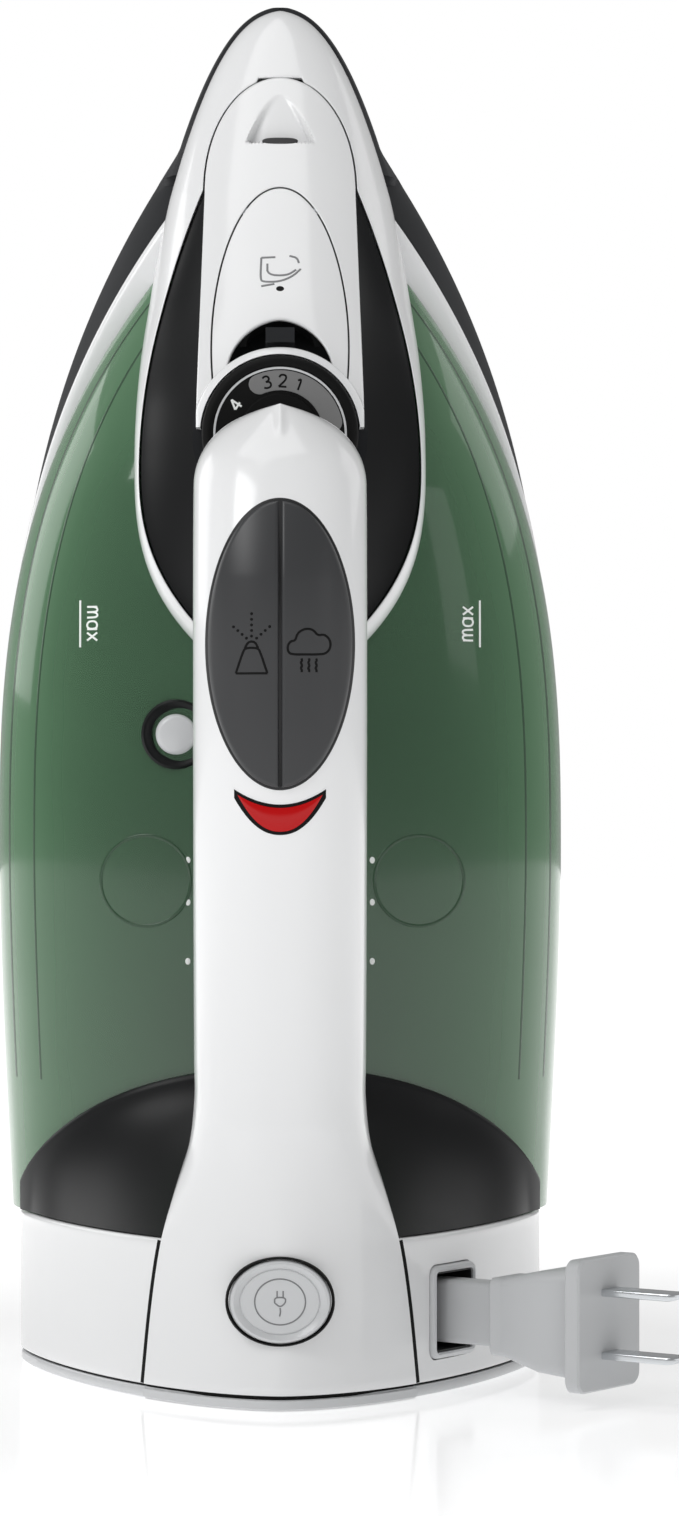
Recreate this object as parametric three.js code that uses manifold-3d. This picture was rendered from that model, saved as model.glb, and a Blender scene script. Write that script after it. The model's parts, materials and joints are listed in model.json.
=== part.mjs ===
// A corded steam iron standing on its heel: +Z runs from the heel rest to the sole's tip, the sole
// faces +Y and the handle faces -Y. Millimetres. The origin is the centre of the heel rest.
//
// Heights h are measured from the sole's face towards the handle, so y = SOLE_Y - h.
// Stations z are measured from the heel rest. "Half" is half a width, measured from the middle plane.
import * as THREE from "three";
import { mergeVertices } from "three/addons/utils/BufferGeometryUtils.js";
import Module from "manifold-3d";

const wasm = await Module();
wasm.setup();

// ---------------------------------------------------------------- driving dimensions
const LENGTH = 300; // heel rest to sole tip
const HEIGHT = 150; // sole face to the top of the handle
const BODY_WIDTH = 123.6; // across the water tank
const WALL = 2.3; // moulded walls
const GAP = 0.35; // between mouldings that touch
const RUN = 0.3; // round a moving piece

const SOLE_Y = HEIGHT / 2;
const BODY_HALF = BODY_WIDTH / 2;

// heel
const HEEL_DEPTH = 33; // thickness of the heel housing along Z
const HEEL_COVER = 2.4; // thickness of the heel rest plate
const HEEL_TUCK = 5.3; // how much narrower than the tank the heel is, each side
const HEEL_LOW = 8; // height where the heel housing starts
const HEEL_SHOULDER = 50; // height where its sides start to close into the arch
const HEEL_TOP = HEIGHT - 21; // top of the arch
const HEEL_HALF = BODY_HALF - HEEL_TUCK;

// sole and heater
const SOLE_REAR = 45; // station of the sole's rear edge
const SOLE_THICK = 2;
const SOLE_INSET = 1.2; // inside the skirt's outline
const CASTING_TOP = 13;
const CHAMBER_COVER = 1.6;
const STEAM_HOLE_R = 1.3;

// side mouldings, by height
const SKIRT_LOW = 5;
const SKIRT_KNEE = 12;
const SKIRT_FOOT = 2.5; // how far its lower edge is tucked in
const SKIRT_TOP = 27;
const BAND_TOP = 38; // top of the lower body shell and seat of the tank
const WIDEST = 110; // station of the widest section
const TAPER = 2.83; // exponent of the plan taper towards the tip
const SKIRT_SHORT = 4; // how far short of the tip each plan taper closes
const BAND_SHORT = 21;
const TANK_SHORT = 34.5;
const REAR_TUCK = 3.1; // how much the body narrows towards the heel, each side
const TANK_CROWN = 80; // top of the tank
const TIP_HALF = 22.6; // half width of the tip at its root
const TIP_ROOT = 32; // length of the tip ahead of the button groove

// dial and steam selector
const DIAL_Z = LENGTH - 102;
const DIAL_R = 16.2;
const DIAL_LOW = 97.5;
const DIAL_THICK = 5;
const SHAFT_R = 2.5;
const SELECTOR_LOW = 91.5;
const SELECTOR_THICK = 2;

// handle
const HANDLE_HALF = 17.4;
const HANDLE_FRONT = LENGTH - 98; // station of the handle's front end
const HANDLE_ROUND = 16; // length of its rounded front end
const HANDLE_DROP = 17; // from the handle's crown to its parting line
const FLARE_HALF = 28.2; // half width of the handle's foot at the heel
const BUTTON_Z = LENGTH - 146.5;
const BUTTON_HALF = 14.3; // the two thumb buttons share one oval
const BUTTON_LONG = 28.3;
const BUTTON_PROUD = 0.9;
const BUTTON_BASE = HEIGHT - 10.5;
const BUTTON_TRAVEL = 4;
const PUMP_X = 6.6;
const PUMP_R = 4.3; // outside of a pump's barrel
const LENS_Z = BUTTON_Z - 32.5;
const COLUMN_Z = BUTTON_Z + 11.5; // middle of the column under the handle's front
const COLUMN_HALF = PUMP_X + PUMP_R + WALL + GAP;
const COLUMN_LONG = 13;

// nose
const COVER_HALF = 16.4; // the nose cover's half width at its front
const COVER_SPREAD = 1.3; // how much wider it is beside the dial
const DOOR_HALF = 14.3;
const DOOR_FRONT = LENGTH - 46;
const DOOR_PIN_R = 1.2;

// cord reel, centred over the heel
const REEL_SIDE = 13; // room between the reel's rim and the housing's side wall
const REEL_R = HEEL_HALF - WALL - REEL_SIDE;
const REEL_H = HEEL_LOW + WALL + 1 + REEL_R;
const REEL_LOW = HEEL_COVER + 3;
const REEL_WIDE = 24.4;
const FLANGE = 1.5;
const DRUM_R = 13;
const CORD_R = 2.6;
const REEL_ROOM = 7; // left between the winding and the flanges' rim
const CORD_LAYERS = Math.floor((REEL_R - REEL_ROOM - DRUM_R) / (2 * CORD_R));
const WINDING_R = DRUM_R + CORD_LAYERS * 2 * CORD_R;
const AXLE_R = 3;

// plug, measured along its own axis from the mouth of its pocket
const PLUG_ANGLE = THREE.MathUtils.degToRad(36);
const PLUG_X = 35.5;
const PLUG_Z = 16.8;
const STUB_TALL = 13;
const STUB_WIDE = 9;
const PLATE_TALL = 26.8;
const PLATE_WIDE = 23.6;
const BLADE_PITCH = 12.7;
const BLADE = { long: 16.5, wide: 6.35, thick: 1.5 };

// small controls
const REWIND = { z: 22, wide: 11, tall: 9, travel: 3 };
const CLEAN = { x: -22, z: 136, well: 7.4, cap: 4.4, hole: 2.4, travel: 3 };

// ---------------------------------------------------------------- small tools
const RIGHT = 1;
const LEFT = -1;
const y = (h) => SOLE_Y - h;
const range = (n) => [...Array(n).keys()];
const spread = (a, b, n) => range(n + 1).map((i) => a + ((b - a) * i) / n);
const clamp = (v, lo, hi) => Math.min(hi, Math.max(lo, v));

// A smooth curve through [station, value] points, held level past its ends.
function curve(points) {
  const slope = (i) => {
    const a = points[Math.max(i - 1, 0)];
    const b = points[Math.min(i + 1, points.length - 1)];
    return (b[1] - a[1]) / (b[0] - a[0]);
  };
  return (z) => {
    const t = clamp(z, points[0][0], points.at(-1)[0]);
    const i = clamp(points.findIndex((p) => p[0] >= t) - 1, 0, points.length - 2);
    const [[z0, v0], [z1, v1]] = [points[i], points[i + 1]];
    const [w, s] = [z1 - z0, (t - z0) / (z1 - z0)];
    return (
      v0 * (1 + 2 * s) * (1 - s) ** 2 +
      v1 * s * s * (3 - 2 * s) +
      w * slope(i) * s * (1 - s) ** 2 -
      w * slope(i + 1) * s * s * (1 - s)
    );
  };
}

// A rounded profile: 1 in the middle, 0 at the edge, with fullness set by its two exponents.
const dome = (u, p, q) => Math.max(0, 1 - Math.min(1, Math.abs(u)) ** p) ** (1 / q);

// A closed solid from a geometry, turned the right way out.
function solid(geometry) {
  const bare = geometry.index ? geometry.clone() : geometry;
  bare.deleteAttribute("normal");
  bare.deleteAttribute("uv");
  const merged = mergeVertices(bare, 1e-4);
  const make = (triVerts) =>
    new wasm.Manifold(
      new wasm.Mesh({ numProp: 3, vertProperties: merged.attributes.position.array, triVerts }),
    );
  const faces = new Uint32Array(merged.index.array);
  const made = make(faces);
  if (made.volume() > 0) return made;
  for (let i = 0; i < faces.length; i += 3) [faces[i + 1], faces[i + 2]] = [faces[i + 2], faces[i + 1]];
  return make(faces);
}

function geometryOf(made) {
  const mesh = made.getMesh();
  const geometry = new THREE.BufferGeometry();
  geometry.setAttribute("position", new THREE.BufferAttribute(mesh.vertProperties, 3));
  geometry.setIndex(new THREE.BufferAttribute(mesh.triVerts, 1));
  const flat = geometry.toNonIndexed();
  flat.computeVertexNormals();
  return flat;
}

const join = (...all) => all.reduce((a, b) => a.add(b));
const cut = (body, ...tools) => tools.reduce((a, b) => a.subtract(b), body);

const shapeOf = (points) => new THREE.Shape(points.map(([a, b]) => new THREE.Vector2(a, b)));

const extruded = (shape, depth, curveSegments = 10) =>
  new THREE.ExtrudeGeometry(shape, { depth, bevelEnabled: false, curveSegments });

// Extrusions of an outline up the heights and along the iron. Points are [x, z] and [x, h] in turn.
function alongHeight(shape, low, high) {
  const g = extruded(shape, high - low);
  const stand = new THREE.Matrix4().set(1, 0, 0, 0, 0, 0, -1, y(low), 0, 1, 0, 0, 0, 0, 0, 1);
  return solid(g.applyMatrix4(stand));
}
function alongLength(shape, low, high) {
  const g = extruded(shape, high - low);
  return solid(g.applyMatrix4(new THREE.Matrix4().set(1, 0, 0, 0, 0, -1, 0, SOLE_Y, 0, 0, 1, low, 0, 0, 0, 1)));
}

function box(x0, x1, h0, h1, z0, z1) {
  const g = new THREE.BoxGeometry(x1 - x0, h1 - h0, z1 - z0);
  return solid(g.translate((x0 + x1) / 2, y((h0 + h1) / 2), (z0 + z1) / 2));
}
// Round bars standing on the sole plane (post) and lying along the iron (bar).
function post(x, z, r, low, high, sides = 20) {
  const g = new THREE.CylinderGeometry(r, r, high - low, sides);
  return solid(g.translate(x, y((low + high) / 2), z));
}
function bar(x, h, r, z0, z1, sides = 20) {
  const g = new THREE.CylinderGeometry(r, r, z1 - z0, sides).rotateX(Math.PI / 2);
  return solid(g.translate(x, y(h), (z0 + z1) / 2));
}
// A turned piece about an upright axis: the profile is [radius, height] points.
function turned(x, z, profile, sides = 32) {
  const points = profile.map(([r, h]) => new THREE.Vector2(r, -h));
  return solid(new THREE.LatheGeometry([...points, points[0]], sides).translate(x, SOLE_Y, z));
}
// A turned piece about an axis along the iron: the profile is [radius, station] points.
function spun(x, h, profile, sides = 40) {
  const points = profile.map(([r, z]) => new THREE.Vector2(r, z));
  const g = new THREE.LatheGeometry([...points, points[0]], sides).rotateX(Math.PI / 2);
  return solid(g.translate(x, y(h), 0));
}
const ellipse = (z, wide, long, x = 0) => {
  const s = new THREE.Shape();
  s.absellipse(x, z, wide, long, 0, 2 * Math.PI);
  return s;
};

// A body through sections across the iron: each is {z, loop: [[x, h], ...]}, with as many points in each.
function loft(sections) {
  const n = sections[0].loop.length;
  const points = sections.flatMap(({ z, loop }) => loop.map(([x, h]) => [x, y(h), z]));
  const faces = [];
  for (let s = 0; s < sections.length - 1; s++)
    for (let i = 0; i < n; i++) {
      const [a, b] = [s * n + i, s * n + ((i + 1) % n)];
      faces.push(a, b, b + n, a, b + n, a + n);
    }
  for (const [s, turn] of [[0, true], [sections.length - 1, false]]) {
    const flat = sections[s].loop.map(([x, h]) => new THREE.Vector2(x, h));
    const clockwise = THREE.ShapeUtils.isClockWise(flat);
    const ordered = clockwise ? [...flat].reverse() : flat;
    for (const [a, b, c] of THREE.ShapeUtils.triangulateShape(ordered, [])) {
      const [p, q, r] = [a, b, c].map((k) => s * n + (clockwise ? n - 1 - k : k));
      faces.push(...(turn !== clockwise ? [p, r, q] : [p, q, r]));
    }
  }
  const g = new THREE.BufferGeometry();
  g.setAttribute("position", new THREE.Float32BufferAttribute(points.flat(), 3));
  g.setIndex(faces);
  return solid(g);
}

// The space under a surface height(x, z), inside |x| < half(z), down to a base height, offset outwards by o.
function under(height, half, base, stations, across = 16, o = 0) {
  return loft(
    stations.map((z) => {
      const w = Math.max(half(z), 0.4);
      const wide = Math.max(w + o, 0.3);
      const low = (typeof base === "function" ? base(z) : base) - o;
      const top = range(across + 1).map((i) => {
        const u = Math.sin((Math.PI / 2) * ((2 * i) / across - 1)); // closer together at the edges
        return [u * wide, Math.max(height(u * w, z) + o, low + 0.3)];
      });
      return { z, loop: [[-wide, low], ...top, [wide, low]] };
    }),
  );
}

// A plan outline from half(z), as a shape in [x, z].
function plan(half, z0, z1, n, grow = 0) {
  const zs = spread(0, 1, n).map((t) => z0 + (z1 - z0) * Math.sin((Math.PI / 2) * t));
  const side = zs.map((z) => [Math.max(half(z) + grow, 0.3), z]);
  return shapeOf([...side, ...side.map(([x, z]) => [-x, z]).reverse()]);
}

// ---------------------------------------------------------------- the iron's own surfaces
// Half width of the body at a station, for a taper that closes "short" of the tip.
function bodyHalf(z, short, most = BODY_HALF) {
  if (z <= WIDEST) return most - REAR_TUCK * ((WIDEST - z) / (WIDEST - HEEL_DEPTH)) ** 1.5;
  const reach = LENGTH - WIDEST - short;
  return Math.max(0, most * (1 - ((z - WIDEST) / reach) ** TAPER));
}
const tipHalf = (z) => TIP_HALF * (Math.max(0, LENGTH + 0.3 - z) / TIP_ROOT) ** 0.45;
const SKIRT_HALF = BODY_HALF - 1;
const isTip = (z) => z > LENGTH - TIP_ROOT - 8;
const skirtHalf = (z) => Math.max(bodyHalf(z, SKIRT_SHORT, SKIRT_HALF), isTip(z) ? tipHalf(z) : 0);
const skirtTopHalf = (z) => Math.max(bodyHalf(z, BAND_SHORT, SKIRT_HALF), isTip(z) ? tipHalf(z) - 1.2 : 0);
const bandHalf = (z) => bodyHalf(z, BAND_SHORT, BODY_HALF - 0.8);
const tankHalf = (z) => bodyHalf(z, TANK_SHORT);

const CROWN_FALL = LENGTH - 115; // station where the tank's top starts to fall towards the nose
const crown = (z) => TANK_CROWN - (z > CROWN_FALL ? 30 * ((z - CROWN_FALL) / 45) ** 2 : 0);
const tankH = (x, z) => BAND_TOP + (crown(z) - BAND_TOP) * dome(x / Math.max(tankHalf(z), 0.4), 2.8, 2.2);

// The nose: a teardrop from the tip to under the handle.
const NOSE_MID = LENGTH - 103;
const NOSE_REAR = NOSE_MID - 55;
const NOSE_TIP = LENGTH - 1.5;
function noseHalf(z) {
  if (z > LENGTH - 45) return 24.3 * (Math.max(0, NOSE_TIP - z) / 43.5) ** 0.45;
  const [reach, power] = z > NOSE_MID ? [133.6, 1.84] : [55, 3.1];
  return 31 * Math.max(0, 1 - (Math.abs(z - NOSE_MID) / reach) ** power);
}
const LEAF_MID = LENGTH - 107;
const LEAF_REAR = LEAF_MID - 48.5;
function leafHalf(z) {
  const [reach, power] = z > LEAF_MID ? [96, 1.83] : [48.5, 2.47];
  return 29.5 * Math.max(0, 1 - (Math.abs(z - LEAF_MID) / reach) ** power);
}
const fromTip = (points) => curve(points.map(([d, v]) => [LENGTH - d, v]).reverse());
const noseEdge = fromTip([
  [0, 17], [25, 26], [51, 36.5], [69, 44.5], [85, 61], [105, 74], [125, 79], [158, 81],
]);
const noseRidge = fromTip([
  [0, 19], [4, 26], [12, 33], [25, 42.5], [45, 58], [65, 74], [85, 89.5], [95, 95], [110, 94], [158, 88],
]);
const noseH = (x, z) =>
  noseEdge(z) + (noseRidge(z) - noseEdge(z)) * dome(x / Math.max(noseHalf(z), 0.4), 2.2, 1.8);
const saddleMiddle = fromTip([
  [47, 54], [65, 66], [85, 80], [95, 85], [110, 88.5], [125, 87.5], [140, 84.5], [156, 82],
]);
function saddleH(x, z) {
  const outer = noseH(leafHalf(z), z) - 1.5;
  const v = clamp((leafHalf(z) - Math.abs(x)) / Math.max(leafHalf(z) - 14, 1), 0, 1);
  return outer + (saddleMiddle(z) - outer) * v ** 1.5;
}
const coverHalf = (z) => COVER_HALF + (COVER_SPREAD * clamp(DOOR_FRONT - z, 0, 56)) / 56;

// Heel arch, rear saddle and handle.
const arch = (x) => HEEL_SHOULDER + (HEEL_TOP - HEEL_SHOULDER) * dome(x / HEEL_HALF, 1.7, 1.3);
const heelLoop = (inset) => {
  const w = HEEL_HALF - inset;
  const top = spread(-1, 1, 28).map((t) => {
    const u = Math.sin((Math.PI / 2) * t);
    const full = HEEL_SHOULDER + (HEEL_TOP - HEEL_SHOULDER - inset) * dome(u, 1.7, 1.3);
    return [u * w, full];
  });
  const [low, corner] = [HEEL_LOW + inset, HEEL_LOW + 8 + inset];
  return [[-w + 6, low], [-w, corner], ...top, [w, corner], [w - 6, low]];
};
const SADDLE_LONG = 30; // how far the rear saddle runs ahead of the heel
const rearSaddleEdge = (x) => HEEL_DEPTH + 2 + (SADDLE_LONG - 2) * dome(x / (HEEL_HALF + 1), 2.4, 1.6);
const SADDLE_LIP = 1.4; // thickness of its free edge
function rearSaddleH(x, z) {
  const t = clamp((z - HEEL_DEPTH) / (rearSaddleEdge(x) - HEEL_DEPTH), 0, 1);
  const low = tankH(x, z) + 2 * GAP + SADDLE_LIP;
  return low + Math.max(0, arch(x) - 0.4 - low) * (1 - t) ** 1.8;
}
const flare = curve([
  [0, FLARE_HALF], [20, 26.2], [33, 24.2], [42, 21.7], [52, 18.6], [62, HANDLE_HALF], [70, HANDLE_HALF],
]);
function handleHalf(z) {
  const into = (z - (HANDLE_FRONT - HANDLE_ROUND)) / HANDLE_ROUND;
  return into > 0 ? HANDLE_HALF * Math.sqrt(Math.max(0, 1 - into * into)) : flare(z);
}
const handleTop = curve([
  [0, HEEL_TOP + 0.5], [20, HEEL_TOP + 0.3], [40, HEEL_TOP + 2], [60, HEIGHT - 14.5],
  [85, HEIGHT - 7.5], [115, HEIGHT - 2],
  [LENGTH - 155, HEIGHT], [LENGTH - 130, HEIGHT - 1.5], [LENGTH - 110, HEIGHT - 9], [HANDLE_FRONT, HEIGHT - 20],
]);
const handleH = (x, z) => handleTop(z) - HANDLE_DROP * (1 - dome(x / Math.max(handleHalf(z), 0.4), 2.4, 2));
// The line where the white handle shell meets the dark grip, and the grip's underside.
const parting = curve([
  [62, TANK_CROWN + 4], [68, TANK_CROWN + 17], [78, HEIGHT - 37], [95, HEIGHT - 25], [120, HEIGHT - 18.5],
  [LENGTH - 150, HEIGHT - 17], [LENGTH - 125, HEIGHT - 19], [LENGTH - 110, HEIGHT - 25.5],
  [HANDLE_FRONT, HEIGHT - 33],
]);
const gripUnder = curve([
  [64, TANK_CROWN + 2], [69, TANK_CROWN + 19], [76, HEIGHT - 39], [88, HEIGHT - 34], [110, HEIGHT - 32.5],
  [LENGTH - 150, HEIGHT - 32], [LENGTH - 124, HEIGHT - 33], [LENGTH - 110, HEIGHT - 37],
  [HANDLE_FRONT, HEIGHT - 39],
]);

// Stations between two ends, closer together at both.
const spaced = (a, b, n) => spread(0, 1, n).map((t) => a + ((b - a) * (1 - Math.cos(Math.PI * t))) / 2);

// The same stations reaching o further at both ends, so that offset surfaces stay parallel.
function widened(zs, o) {
  const between = o > 0 ? zs : zs.slice(1, -1);
  return [zs[0] - o, ...between, zs.at(-1) + o];
}

// The big envelopes, each offset outwards by o.
const TANK_STATIONS = [
  ...spread(HEEL_DEPTH + GAP, WIDEST, 3),
  ...spaced(WIDEST, LENGTH - TANK_SHORT, 11).slice(1),
];
const tankBody = (o = 0) => under(tankH, tankHalf, BAND_TOP + GAP, widened(TANK_STATIONS, o), 12, o);
const NOSE_SINK = 4; // how far the nose's walls go below its edge
const noseBase = (z) => noseEdge(z) - NOSE_SINK;
const NOSE_STATIONS = spaced(NOSE_REAR, NOSE_TIP, 16);
const noseBody = (o = 0) => under(noseH, noseHalf, noseBase, widened(NOSE_STATIONS, o), 12, o);
const GRIP_REAR = 62;
const footBase = curve([
  [0, HEEL_TOP - 24], [HEEL_DEPTH, HEEL_TOP - 24], [HEEL_DEPTH + 3, TANK_CROWN + 4.5],
  [GRIP_REAR, TANK_CROWN + 4],
]);
const handleBase = (z) => (z < GRIP_REAR ? footBase(z) : parting(z));
// Over the heel the handle's foot lies just proud of the arch.
function handleSkin(x, z) {
  const blend = clamp((z - HEEL_DEPTH) / 24, 0, 1);
  return blend * handleH(x, z) + (1 - blend) * Math.max(arch(x) + 0.9, footBase(0) + 2);
}
const ROUND_FROM = HANDLE_FRONT - HANDLE_ROUND;
const roundEnd = spread(0.25, 1, 5).map((t) => ROUND_FROM + HANDLE_ROUND * Math.sin((t * Math.PI) / 2));
const GRIP_STATIONS = [...spread(GRIP_REAR, 78, 4), ...spread(88, ROUND_FROM, 6), ...roundEnd];
const HANDLE_STATIONS = [0, 12, 24, HEEL_DEPTH, HEEL_DEPTH + 3, 45, 54, ...GRIP_STATIONS];
const handleBody = (o = 0) =>
  under(handleSkin, handleHalf, handleBase, widened(HANDLE_STATIONS, o), 12, o);
const gripBody = (o = 0) =>
  loft(
    widened(GRIP_STATIONS, o).map((z) => {
      const w = Math.max(handleHalf(z) + o, 0.4);
      const [low, high] = [gripUnder(z), parting(z) - GAP];
      const bottom = spread(-1, 1, 10).map((t) => {
        const u = Math.sin((Math.PI / 2) * t);
        return [u * w, Math.min(low + 0.9 * (high - low) * (1 - dome(u, 3, 2)) - o, high + o - 0.3)];
      });
      return { z, loop: [[w, high + o], [-w, high + o], ...bottom] };
    }),
  );

// ---------------------------------------------------------------- sole and heater
// The sole rounds over the kink that the skirt has at the button groove.
const soleHalf = (z) => {
  const [a, b] = [bodyHalf(z, SKIRT_SHORT, BODY_HALF - 1), z > WIDEST ? tipHalf(z) : 0];
  const near = 1 - clamp(Math.abs(z - (LENGTH - TIP_ROOT)) / 30, 0, 1);
  return skirtHalf(z) - SOLE_INSET + 1.4 * near ** 2 * (Math.min(a, b) > 0 ? 1 : 0);
};
const castingHalf = (z) => skirtHalf(z) - WALL - SKIRT_FOOT - 2 * GAP;
const CASTING_FRONT = LENGTH - 12;
const chamberHalf = (z) => Math.max(0, castingHalf(z + 20) - 17);
const CHAMBER = { low: 7, rear: 78, front: LENGTH - 62 };

function steamHoles(low, high) {
  const rows = [
    { z: LENGTH - 50, half: 0, n: 1 },
    { z: LENGTH - 64, half: 9, n: 3 },
    { z: LENGTH - 84, half: 17, n: 4 },
    { z: LENGTH - 108, half: 24, n: 5 },
    { z: LENGTH - 140, half: 30, n: 5 },
    { z: LENGTH - 176, half: 33, n: 4 },
  ];
  const places = rows.flatMap(({ z, half, n }) =>
    range(n).map((i) => [n > 1 ? half * ((2 * i) / (n - 1) - 1) : 0, z]),
  );
  return places.map(([x, z]) => post(x, z, STEAM_HOLE_R, low, high, 6));
}

function solePlate() {
  const plate = alongHeight(plan(soleHalf, SOLE_REAR, LENGTH, 22), 0, SOLE_THICK);
  return cut(plate, ...steamHoles(-1, SOLE_THICK + 1));
}

const ELEMENT_R = 3.4;
const ELEMENT_H = CASTING_TOP - 1.5;
function elementPath() {
  const half = (z) => castingHalf(z) - 8;
  const side = spread(SOLE_REAR + 14, LENGTH - 62, 7).map((z) => new THREE.Vector3(half(z), y(ELEMENT_H), z));
  const nose = new THREE.Vector3(0, y(ELEMENT_H), LENGTH - 34);
  const far = side.map((p) => new THREE.Vector3(-p.x, p.y, p.z)).reverse();
  return new THREE.CatmullRomCurve3([...side, nose, ...far]);
}
function tube(path, radius, steps, sides) {
  const g = new THREE.ExtrudeGeometry(ellipse(0, radius, radius), {
    extrudePath: path,
    steps,
    curveSegments: sides / 2,
  });
  return solid(g);
}
const heatingElement = () => tube(elementPath(), ELEMENT_R, 24, 8);

function heaterCasting() {
  const low = SOLE_THICK + GAP;
  const block = alongHeight(plan(castingHalf, SOLE_REAR + 4, CASTING_FRONT, 18), low, CASTING_TOP);
  const chamber = alongHeight(plan(chamberHalf, CHAMBER.rear, CHAMBER.front, 10), CHAMBER.low, CASTING_TOP + 1);
  const groove = tube(elementPath(), ELEMENT_R + GAP, 24, 8);
  const steamWays = steamHoles(0, CASTING_TOP + 1).slice(1, 8);
  return cut(block, chamber, groove, ...steamWays);
}
function steamChamberCover() {
  const half = (z) => chamberHalf(z) + 2;
  const [low, high] = [CASTING_TOP + GAP, CASTING_TOP + GAP + CHAMBER_COVER];
  const plate = alongHeight(plan(half, CHAMBER.rear - 2, CHAMBER.front + 2, 10), low, high);
  return cut(plate, post(0, VALVE_Z, VALVE_R + RUN, 0, 40));
}
const VALVE_Z = DIAL_Z - 14;
const VALVE_R = 1.6;
const THERMOSTAT_LOW = CASTING_TOP + CHAMBER_COVER + 2 * GAP;
const THERMOSTAT_TALL = 9;
const thermostat = () => box(-9, 9, THERMOSTAT_LOW, THERMOSTAT_LOW + THERMOSTAT_TALL, DIAL_Z - 7, DIAL_Z + 15);
function thermostatShaft() {
  const low = THERMOSTAT_LOW + THERMOSTAT_TALL + GAP;
  return join(post(0, DIAL_Z, SHAFT_R, low, DIAL_LOW - GAP), post(0, DIAL_Z, SHAFT_R + 2, low, low + 2));
}
function thermalFuse() {
  const [h, z] = [THERMOSTAT_LOW + 3, LENGTH - 190];
  return join(bar(0, h, 3, z - 9, z + 9, 16), bar(0, h, 0.8, z - 18, z + 18, 8));
}

// ---------------------------------------------------------------- side mouldings
// Its top edge is level, and dips with the nose's edge close to the tip.
const skirtTop = (z) => Math.min(SKIRT_TOP, noseEdge(z) - 1);
function skirtLoft(o, low, high, rear, tip) {
  const stations = [...spread(rear, WIDEST, 4), ...spaced(WIDEST, LENGTH - 36, 12).slice(1)];
  const nose = spread(0.1, 1, 8).map((t) => LENGTH - 36 + (36 + tip) * Math.sin((t * Math.PI) / 2));
  return loft(
    [...stations, ...nose].map((z) => {
      const full = Math.max(skirtHalf(z) + o, 0.4);
      const foot = Math.max(full - SKIRT_FOOT, 0.3);
      const top = Math.max(skirtTopHalf(z) + o, 0.3);
      const [h0, h1, h2] = [low, SKIRT_KNEE, high(z)];
      return { z, loop: [[-foot, h0], [foot, h0], [full, h1], [top, h2], [-top, h2], [-full, h1]] };
    }),
  );
}
function skirt() {
  const outer = skirtLoft(0, SKIRT_LOW, skirtTop, HEEL_DEPTH + GAP, 0);
  const inner = skirtLoft(-WALL, SKIRT_LOW - 1, () => SKIRT_TOP + 1, HEEL_DEPTH + GAP + WALL, -WALL);
  return cut(outer, inner, noseBody(2 * GAP));
}

const DECK = 2;
function bodyShell() {
  const rear = HEEL_DEPTH + GAP;
  const outline = (o, z0) => plan((z) => bandHalf(z) + o, z0, LENGTH - BAND_SHORT + o, 22);
  const outer = alongHeight(outline(0, rear), SKIRT_TOP + GAP, BAND_TOP);
  const inner = alongHeight(outline(-WALL, rear + WALL), SKIRT_TOP - 1, BAND_TOP - DECK);
  const wells = [
    post(0, DIAL_Z, WELL_R + WELL_WALL + GAP, 20, 50),
    post(0, VALVE_Z, VALVE_R + RUN, 20, 50),
    post(CLEAN.x, CLEAN.z, CLEAN.hole, 20, 50, 12),
  ];
  return cut(outer, inner, noseBody(GAP), ...wells);
}

// ---------------------------------------------------------------- water tank
const WELL_R = SHAFT_R + 0.6;
const WELL_WALL = 1.6;
const TANK_BASE = BAND_TOP + GAP;
const FLOOR_THICK = 2;
const FUNNEL = { z: DIAL_Z + 19, r: 5.4, wall: 1.3 };
const tankCeiling = (z) => noseBase(z) - GAP;

function waterTank() {
  const outer = cut(tankBody(), noseBody(GAP));
  const mouth = plan((z) => tankHalf(z) - WALL, HEEL_DEPTH + GAP + WALL, LENGTH - 46, 18);
  const inner = cut(join(tankBody(-WALL), alongHeight(mouth, 30, TANK_BASE + 3)), noseBody(GAP + WALL));
  const well = post(0, DIAL_Z, WELL_R + WELL_WALL, TANK_BASE, tankCeiling(DIAL_Z));
  const holes = [
    post(0, DIAL_Z, WELL_R, 30, 90),
    post(0, VALVE_Z, VALVE_R + RUN, 30, 90, 12),
    post(0, FUNNEL.z, FUNNEL.r - FUNNEL.wall, 50, 90, 16),
    post(CLEAN.x, CLEAN.z, CLEAN.well + GAP, 60, 95),
  ];
  return cut(join(cut(outer, inner), well), ...holes);
}
function tankFloor() {
  const half = (z) => tankHalf(z) - WALL - GAP;
  const plate = alongHeight(
    plan(half, HEEL_DEPTH + 2 * GAP + WALL, LENGTH - 48, 18), TANK_BASE, TANK_BASE + FLOOR_THICK,
  );
  const holes = [
    post(0, DIAL_Z, WELL_R + WELL_WALL + GAP, 30, 50),
    post(0, VALVE_Z, VALVE_R + RUN, 30, 50, 12),
    post(CLEAN.x, CLEAN.z, CLEAN.hole, 20, 50, 12),
  ];
  return cut(plate, noseBody(GAP + WALL + GAP), ...holes);
}

// ---------------------------------------------------------------- nose
function leafRegion(o) {
  return alongHeight(plan((z) => leafHalf(z) + o, LEAF_REAR - o, DOOR_FRONT + o, 14), 20, 130);
}
// The nose cover's plan: straight sides and a pointed arch over the spray scoop.
const COVER_FRONT = LENGTH - 19;
function coverRegion(o, low = 10, high = 130) {
  const half = (z) => {
    const t = clamp((z - DOOR_FRONT) / (COVER_FRONT - DOOR_FRONT + o), 0, 1);
    return coverHalf(z) * Math.sqrt(1 - t ** 2.2) + o;
  };
  return alongHeight(plan(half, DIAL_Z - 4 - o, COVER_FRONT + o, 16), low, high);
}

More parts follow.
